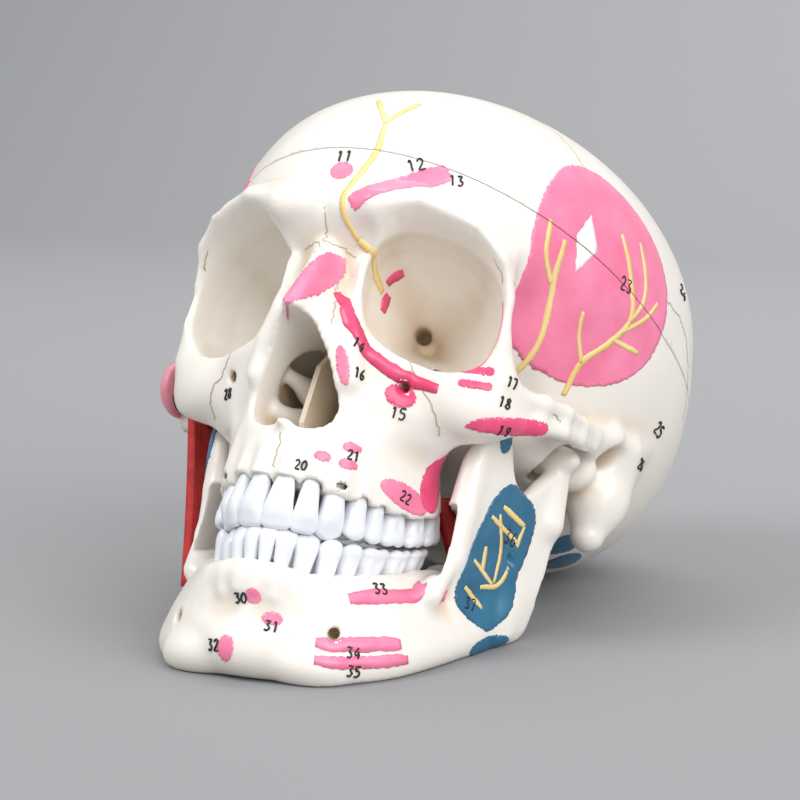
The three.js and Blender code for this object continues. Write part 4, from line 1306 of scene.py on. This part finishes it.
def make_materials():
    return {
        "bone": bone_material(),
        "enamel": enamel_material(),
        "septum": plain_material("septum_bone", (0.66, 0.55, 0.42), 0.5),
        "steel": steel_material(),
        "red": paint_material("red_elastic", (0.42, 0.010, 0.010), (0.62, 0.020, 0.016), 0.5, 300),
        "cushion": paint_material("pad", (0.70, 0.22, 0.28), (0.80, 0.32, 0.38), 0.55, 200),
        "pink": paint_material("pink_paint", (0.84, 0.18, 0.32), (0.92, 0.25, 0.41), 0.4),
        "deep_pink": paint_material("deep_pink_paint", (0.72, 0.05, 0.15), (0.86, 0.10, 0.24), 0.35),
        "blue": paint_material("blue_paint", (0.012, 0.11, 0.21), (0.03, 0.17, 0.29), 0.35),
        "yellow": paint_material("yellow_paint", (0.84, 0.60, 0.20), (0.93, 0.72, 0.32), 0.45),
        "white": plain_material("white_paint", (0.86, 0.84, 0.80), 0.4, 0.2),
        "ink": plain_material("ink", (0.012, 0.012, 0.014), 0.5),
        "suture": plain_material("suture_line", (0.50, 0.42, 0.33), 0.5),
    }


# ---- Studio -----------------------------------------------------------------------------------
CAMERA_AT = Vector((339.7, -692.5, 170.6)) * MM
CAMERA_AIM = Vector((-3.4, -4.0, 64.9)) * MM
CAMERA_LENS = 113.0


def make_camera():
    camera = bpy.data.cameras.new("camera")
    camera.lens = CAMERA_LENS
    camera.sensor_width = 36
    camera.clip_start = 0.01
    holder = bpy.data.objects.new("camera", camera)
    holder.location = CAMERA_AT
    holder.rotation_euler = (CAMERA_AIM - CAMERA_AT).to_track_quat("-Z", "Y").to_euler()
    bpy.context.scene.collection.objects.link(holder)
    bpy.context.scene.camera = holder


def area_light(name, at, size, watts, aim=(0, 0, 0.08), color=(1, 1, 1)):
    light = bpy.data.lights.new(name, "AREA")
    light.shape = "DISK"
    light.size = size
    light.energy = watts
    light.color = color
    holder = bpy.data.objects.new(name, light)
    holder.location = at
    holder.rotation_euler = (Vector(aim) - Vector(at)).to_track_quat("-Z", "Y").to_euler()
    bpy.context.scene.collection.objects.link(holder)


def make_studio():
    make_camera()
    bm = bmesh.new()
    reach, back, rise = 3.0, 2.2, 2.6
    profile = [(-reach, 0), (back - 0.9, 0)]
    profile += [(back - 0.9 + 0.9 * math.sin(a), 0.9 - 0.9 * math.cos(a)) for a in np.linspace(0.1,
        math.pi / 2, 12)]
    profile.append((back, rise))
    rows = [[bm.verts.new((x, y, z)) for y, z in profile] for x in (-reach, reach)]
    for i in range(len(profile) - 1):
        bm.faces.new((rows[0][i], rows[1][i], rows[1][i + 1], rows[0][i + 1]))
    mesh = bpy.data.meshes.new("backdrop")
    bm.to_mesh(mesh)
    mesh.shade_smooth()
    floor = bpy.data.objects.new("backdrop", mesh)
    bpy.context.scene.collection.objects.link(floor)
    mesh.materials.append(plain_material("backdrop", (0.285, 0.288, 0.295), 0.9))
    area_light("key", (-0.9, -1.1, 1.5), 1.0, 17)
    area_light("fill", (1.4, -0.8, 1.0), 1.6, 26)
    area_light("back", (0, 0.9, 1.9), 2.0, 40, aim=(0, 2.2, 0.7))
    world = bpy.data.worlds.new("studio")
    world.use_nodes = True
    world.node_tree.nodes["Background"].inputs["Color"].default_value = (0.96, 0.98, 1, 1)
    world.node_tree.nodes["Background"].inputs["Strength"].default_value = 0.64
    bpy.context.scene.world = world
    bpy.context.scene.view_settings.view_transform = "Standard"


# ---- Assembly ---------------------------------------------------------------------------------
def thin(piece, faces):
    """Merges the flattest faces of a mesh until about this many triangles are left."""
    corners = sum(len(polygon.vertices) - 2 for polygon in piece.data.polygons)
    if corners <= faces:
        return
    modifier = piece.modifiers.new("thin", "DECIMATE")
    modifier.ratio = faces / corners
    shape = piece.evaluated_get(bpy.context.evaluated_depsgraph_get())
    piece.data = bpy.data.meshes.new_from_object(shape)
    piece.modifiers.clear()


def cut_in_two(points, quads, names, faces=MOST_FACES):
    """Parts a mesh at the saw cut, and closes both sides."""
    normal = Vector((0, -CUT_SLOPE, 1)).normalized()
    middle = Vector((0, CUT_FRONT_Y, CUT_FRONT))
    whole = mesh_object("whole", points, quads, to_world=False)
    thin(whole, faces)
    pieces = []
    for name, sign in zip(names, (-1, 1)):
        bm = bmesh.new()
        bm.from_mesh(whole.data)
        cut = bmesh.ops.bisect_plane(
            bm, geom=bm.verts[:] + bm.edges[:] + bm.faces[:],
                plane_co=middle + normal * (sign * SAW_GAP / 2),
            plane_no=normal * -sign, clear_outer=True)
        edges = [e for e in cut["geom_cut"] if isinstance(e, bmesh.types.BMEdge)]
        bmesh.ops.triangle_fill(bm, edges=edges, use_beauty=True, normal=normal * -sign)
        mesh = bpy.data.meshes.new(name)
        bm.to_mesh(mesh)
        bm.free()
        mesh.transform(TO_WORLD)
        piece = bpy.data.objects.new(name, mesh)
        bpy.context.scene.collection.objects.link(piece)
        pieces.append(piece)
    bpy.data.objects.remove(whole)
    return pieces


def painted_shade_of(clay, points, reach=7.0):
    """How enclosed each point of a skin is, 0 to 1: the share of bone round about, from a blurred field. It
    sets how much painted shade the bone gets there.
    """
    solid = (clay.field < 0).astype(np.float32)
    solid = np.concatenate([solid[:0:-1], solid])
    half = max(1, int(reach / clay.step / 2))
    for _ in range(3):
        for axis in range(3):
            total = np.cumsum(np.concatenate([np.zeros_like(solid.take([0], axis)), solid], axis), axis)
            n = solid.shape[axis]
            upper = np.minimum(np.arange(n) + half + 1, n)
            lower = np.maximum(np.arange(n) - half, 0)
            solid = (total.take(upper, axis) - total.take(lower, axis)) / (2 * half + 1)
    low = clay.low - ((len(clay.axes[0]) - 1) * clay.step, 0, 0)
    place = np.clip((points - low) / clay.step, 0, np.array(solid.shape) - 1.001)
    cell = place.astype(int)
    part = place - cell
    share = 0
    for corner in np.ndindex(2, 2, 2):
        weight = np.prod(np.where(corner, part, 1 - part), axis=1)
        share = share + weight * solid[tuple((cell + corner).T)]
    return np.clip((share - 0.51) / 0.13, 0, 1)


def set_painted_shade(piece, points, shares):
    """Hands each vertex the painted-shade share of the nearest sculpted point, as the hollow attribute."""
    tree = KDTree(len(points))
    for i, p in enumerate(points):
        tree.insert(p, i)
    tree.balance()
    back = TO_WORLD.inverted()
    values = [shares[tree.find(back @ v.co)[1]] for v in piece.data.vertices]
    # The hollow attribute carries painted shade, which the bone material reads.
    attribute = piece.data.attributes.new("hollow", "FLOAT", "POINT")
    attribute.data.foreach_set("value", values)


def with_bosses(points, quads, end):
    studs, stud_quads = bosses(end)
    return np.vstack([points, studs]), np.vstack([quads, stud_quads + len(points)])


def finish_piece(piece, material, body, nodes):
    piece.data.materials.append(material)
    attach(piece, body)
    if nodes:
        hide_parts(*nodes)


def make_bones(bone):
    """The three bones, and a search tree of each uncut surface for the paint."""
    trees = {}
    clay = sculpt_cranium()
    points, quads = skin_of(clay)
    trees["cranium"] = BVHTree.FromPolygons(points.tolist(), quads.tolist())
    # Painted shade for the hollows of the cranium, as shares from 0 to 1.
    shares = painted_shade_of(clay, points)
    cranium, cap = cut_in_two(*with_bosses(points, quads, "upper"), ("cranium_bone", "skull_cap_bone"))
    for piece in (cranium, cap):
        set_painted_shade(piece, points, shares)
    finish_piece(cranium, bone, "cranium", ("cranium",))
    finish_piece(cap, bone, "skull_cap", ("skull_cap",))
    clay = sculpt_jaw()
    points, quads = skin_of(clay)
    trees["lower_jaw"] = BVHTree.FromPolygons(points.tolist(), quads.tolist())
    jaw = mesh_object("lower_jaw_bone", *with_bosses(points, quads, "lower"))
    thin(jaw, JAW_FACES)
    # Painted shade for the hollows of the lower jaw.
    set_painted_shade(jaw, points, painted_shade_of(clay, points))
    finish_piece(jaw, bone, "lower_jaw", ("lower_jaw",))
    return trees


def make_paint(trees, materials):
    for (colour, surface), film in paint_films(trees).items():
        names = (f"{surface}_{colour}_marks", f"skull_cap_{colour}_marks")
        if surface == "cranium":
            pieces = cut_in_two(film.points, film.faces, names)
        else:
            pieces = [mesh_object(names[0], film.points, film.faces)]
        for piece, body in zip(pieces, (surface, "skull_cap")):
            if len(piece.data.polygons):
                finish_piece(piece, materials[colour], body, ())
            else:
                bpy.data.objects.remove(piece)


def make_small_parts(materials):
    """The frame's own screws, dowels and nasal septum, which keep their shape."""
    for name in frame["nodes"]:
        if name.endswith("_screw") or name.startswith("cap_dowel"):
            dress(name, materials["steel"])
    dress("nasal_septum", materials["septum"])


def dress(name, material):
    node = frame["nodes"][name]
    node.data.materials.clear()
    node.data.materials.append(material)


def main():
    materials = make_materials()
    trees = make_bones(materials["bone"])
    make_teeth(materials["enamel"])
    make_straps(materials["red"])
    make_pad(materials["cushion"])
    make_small_parts(materials)
    make_paint(trees, materials)
    make_studio()


main()
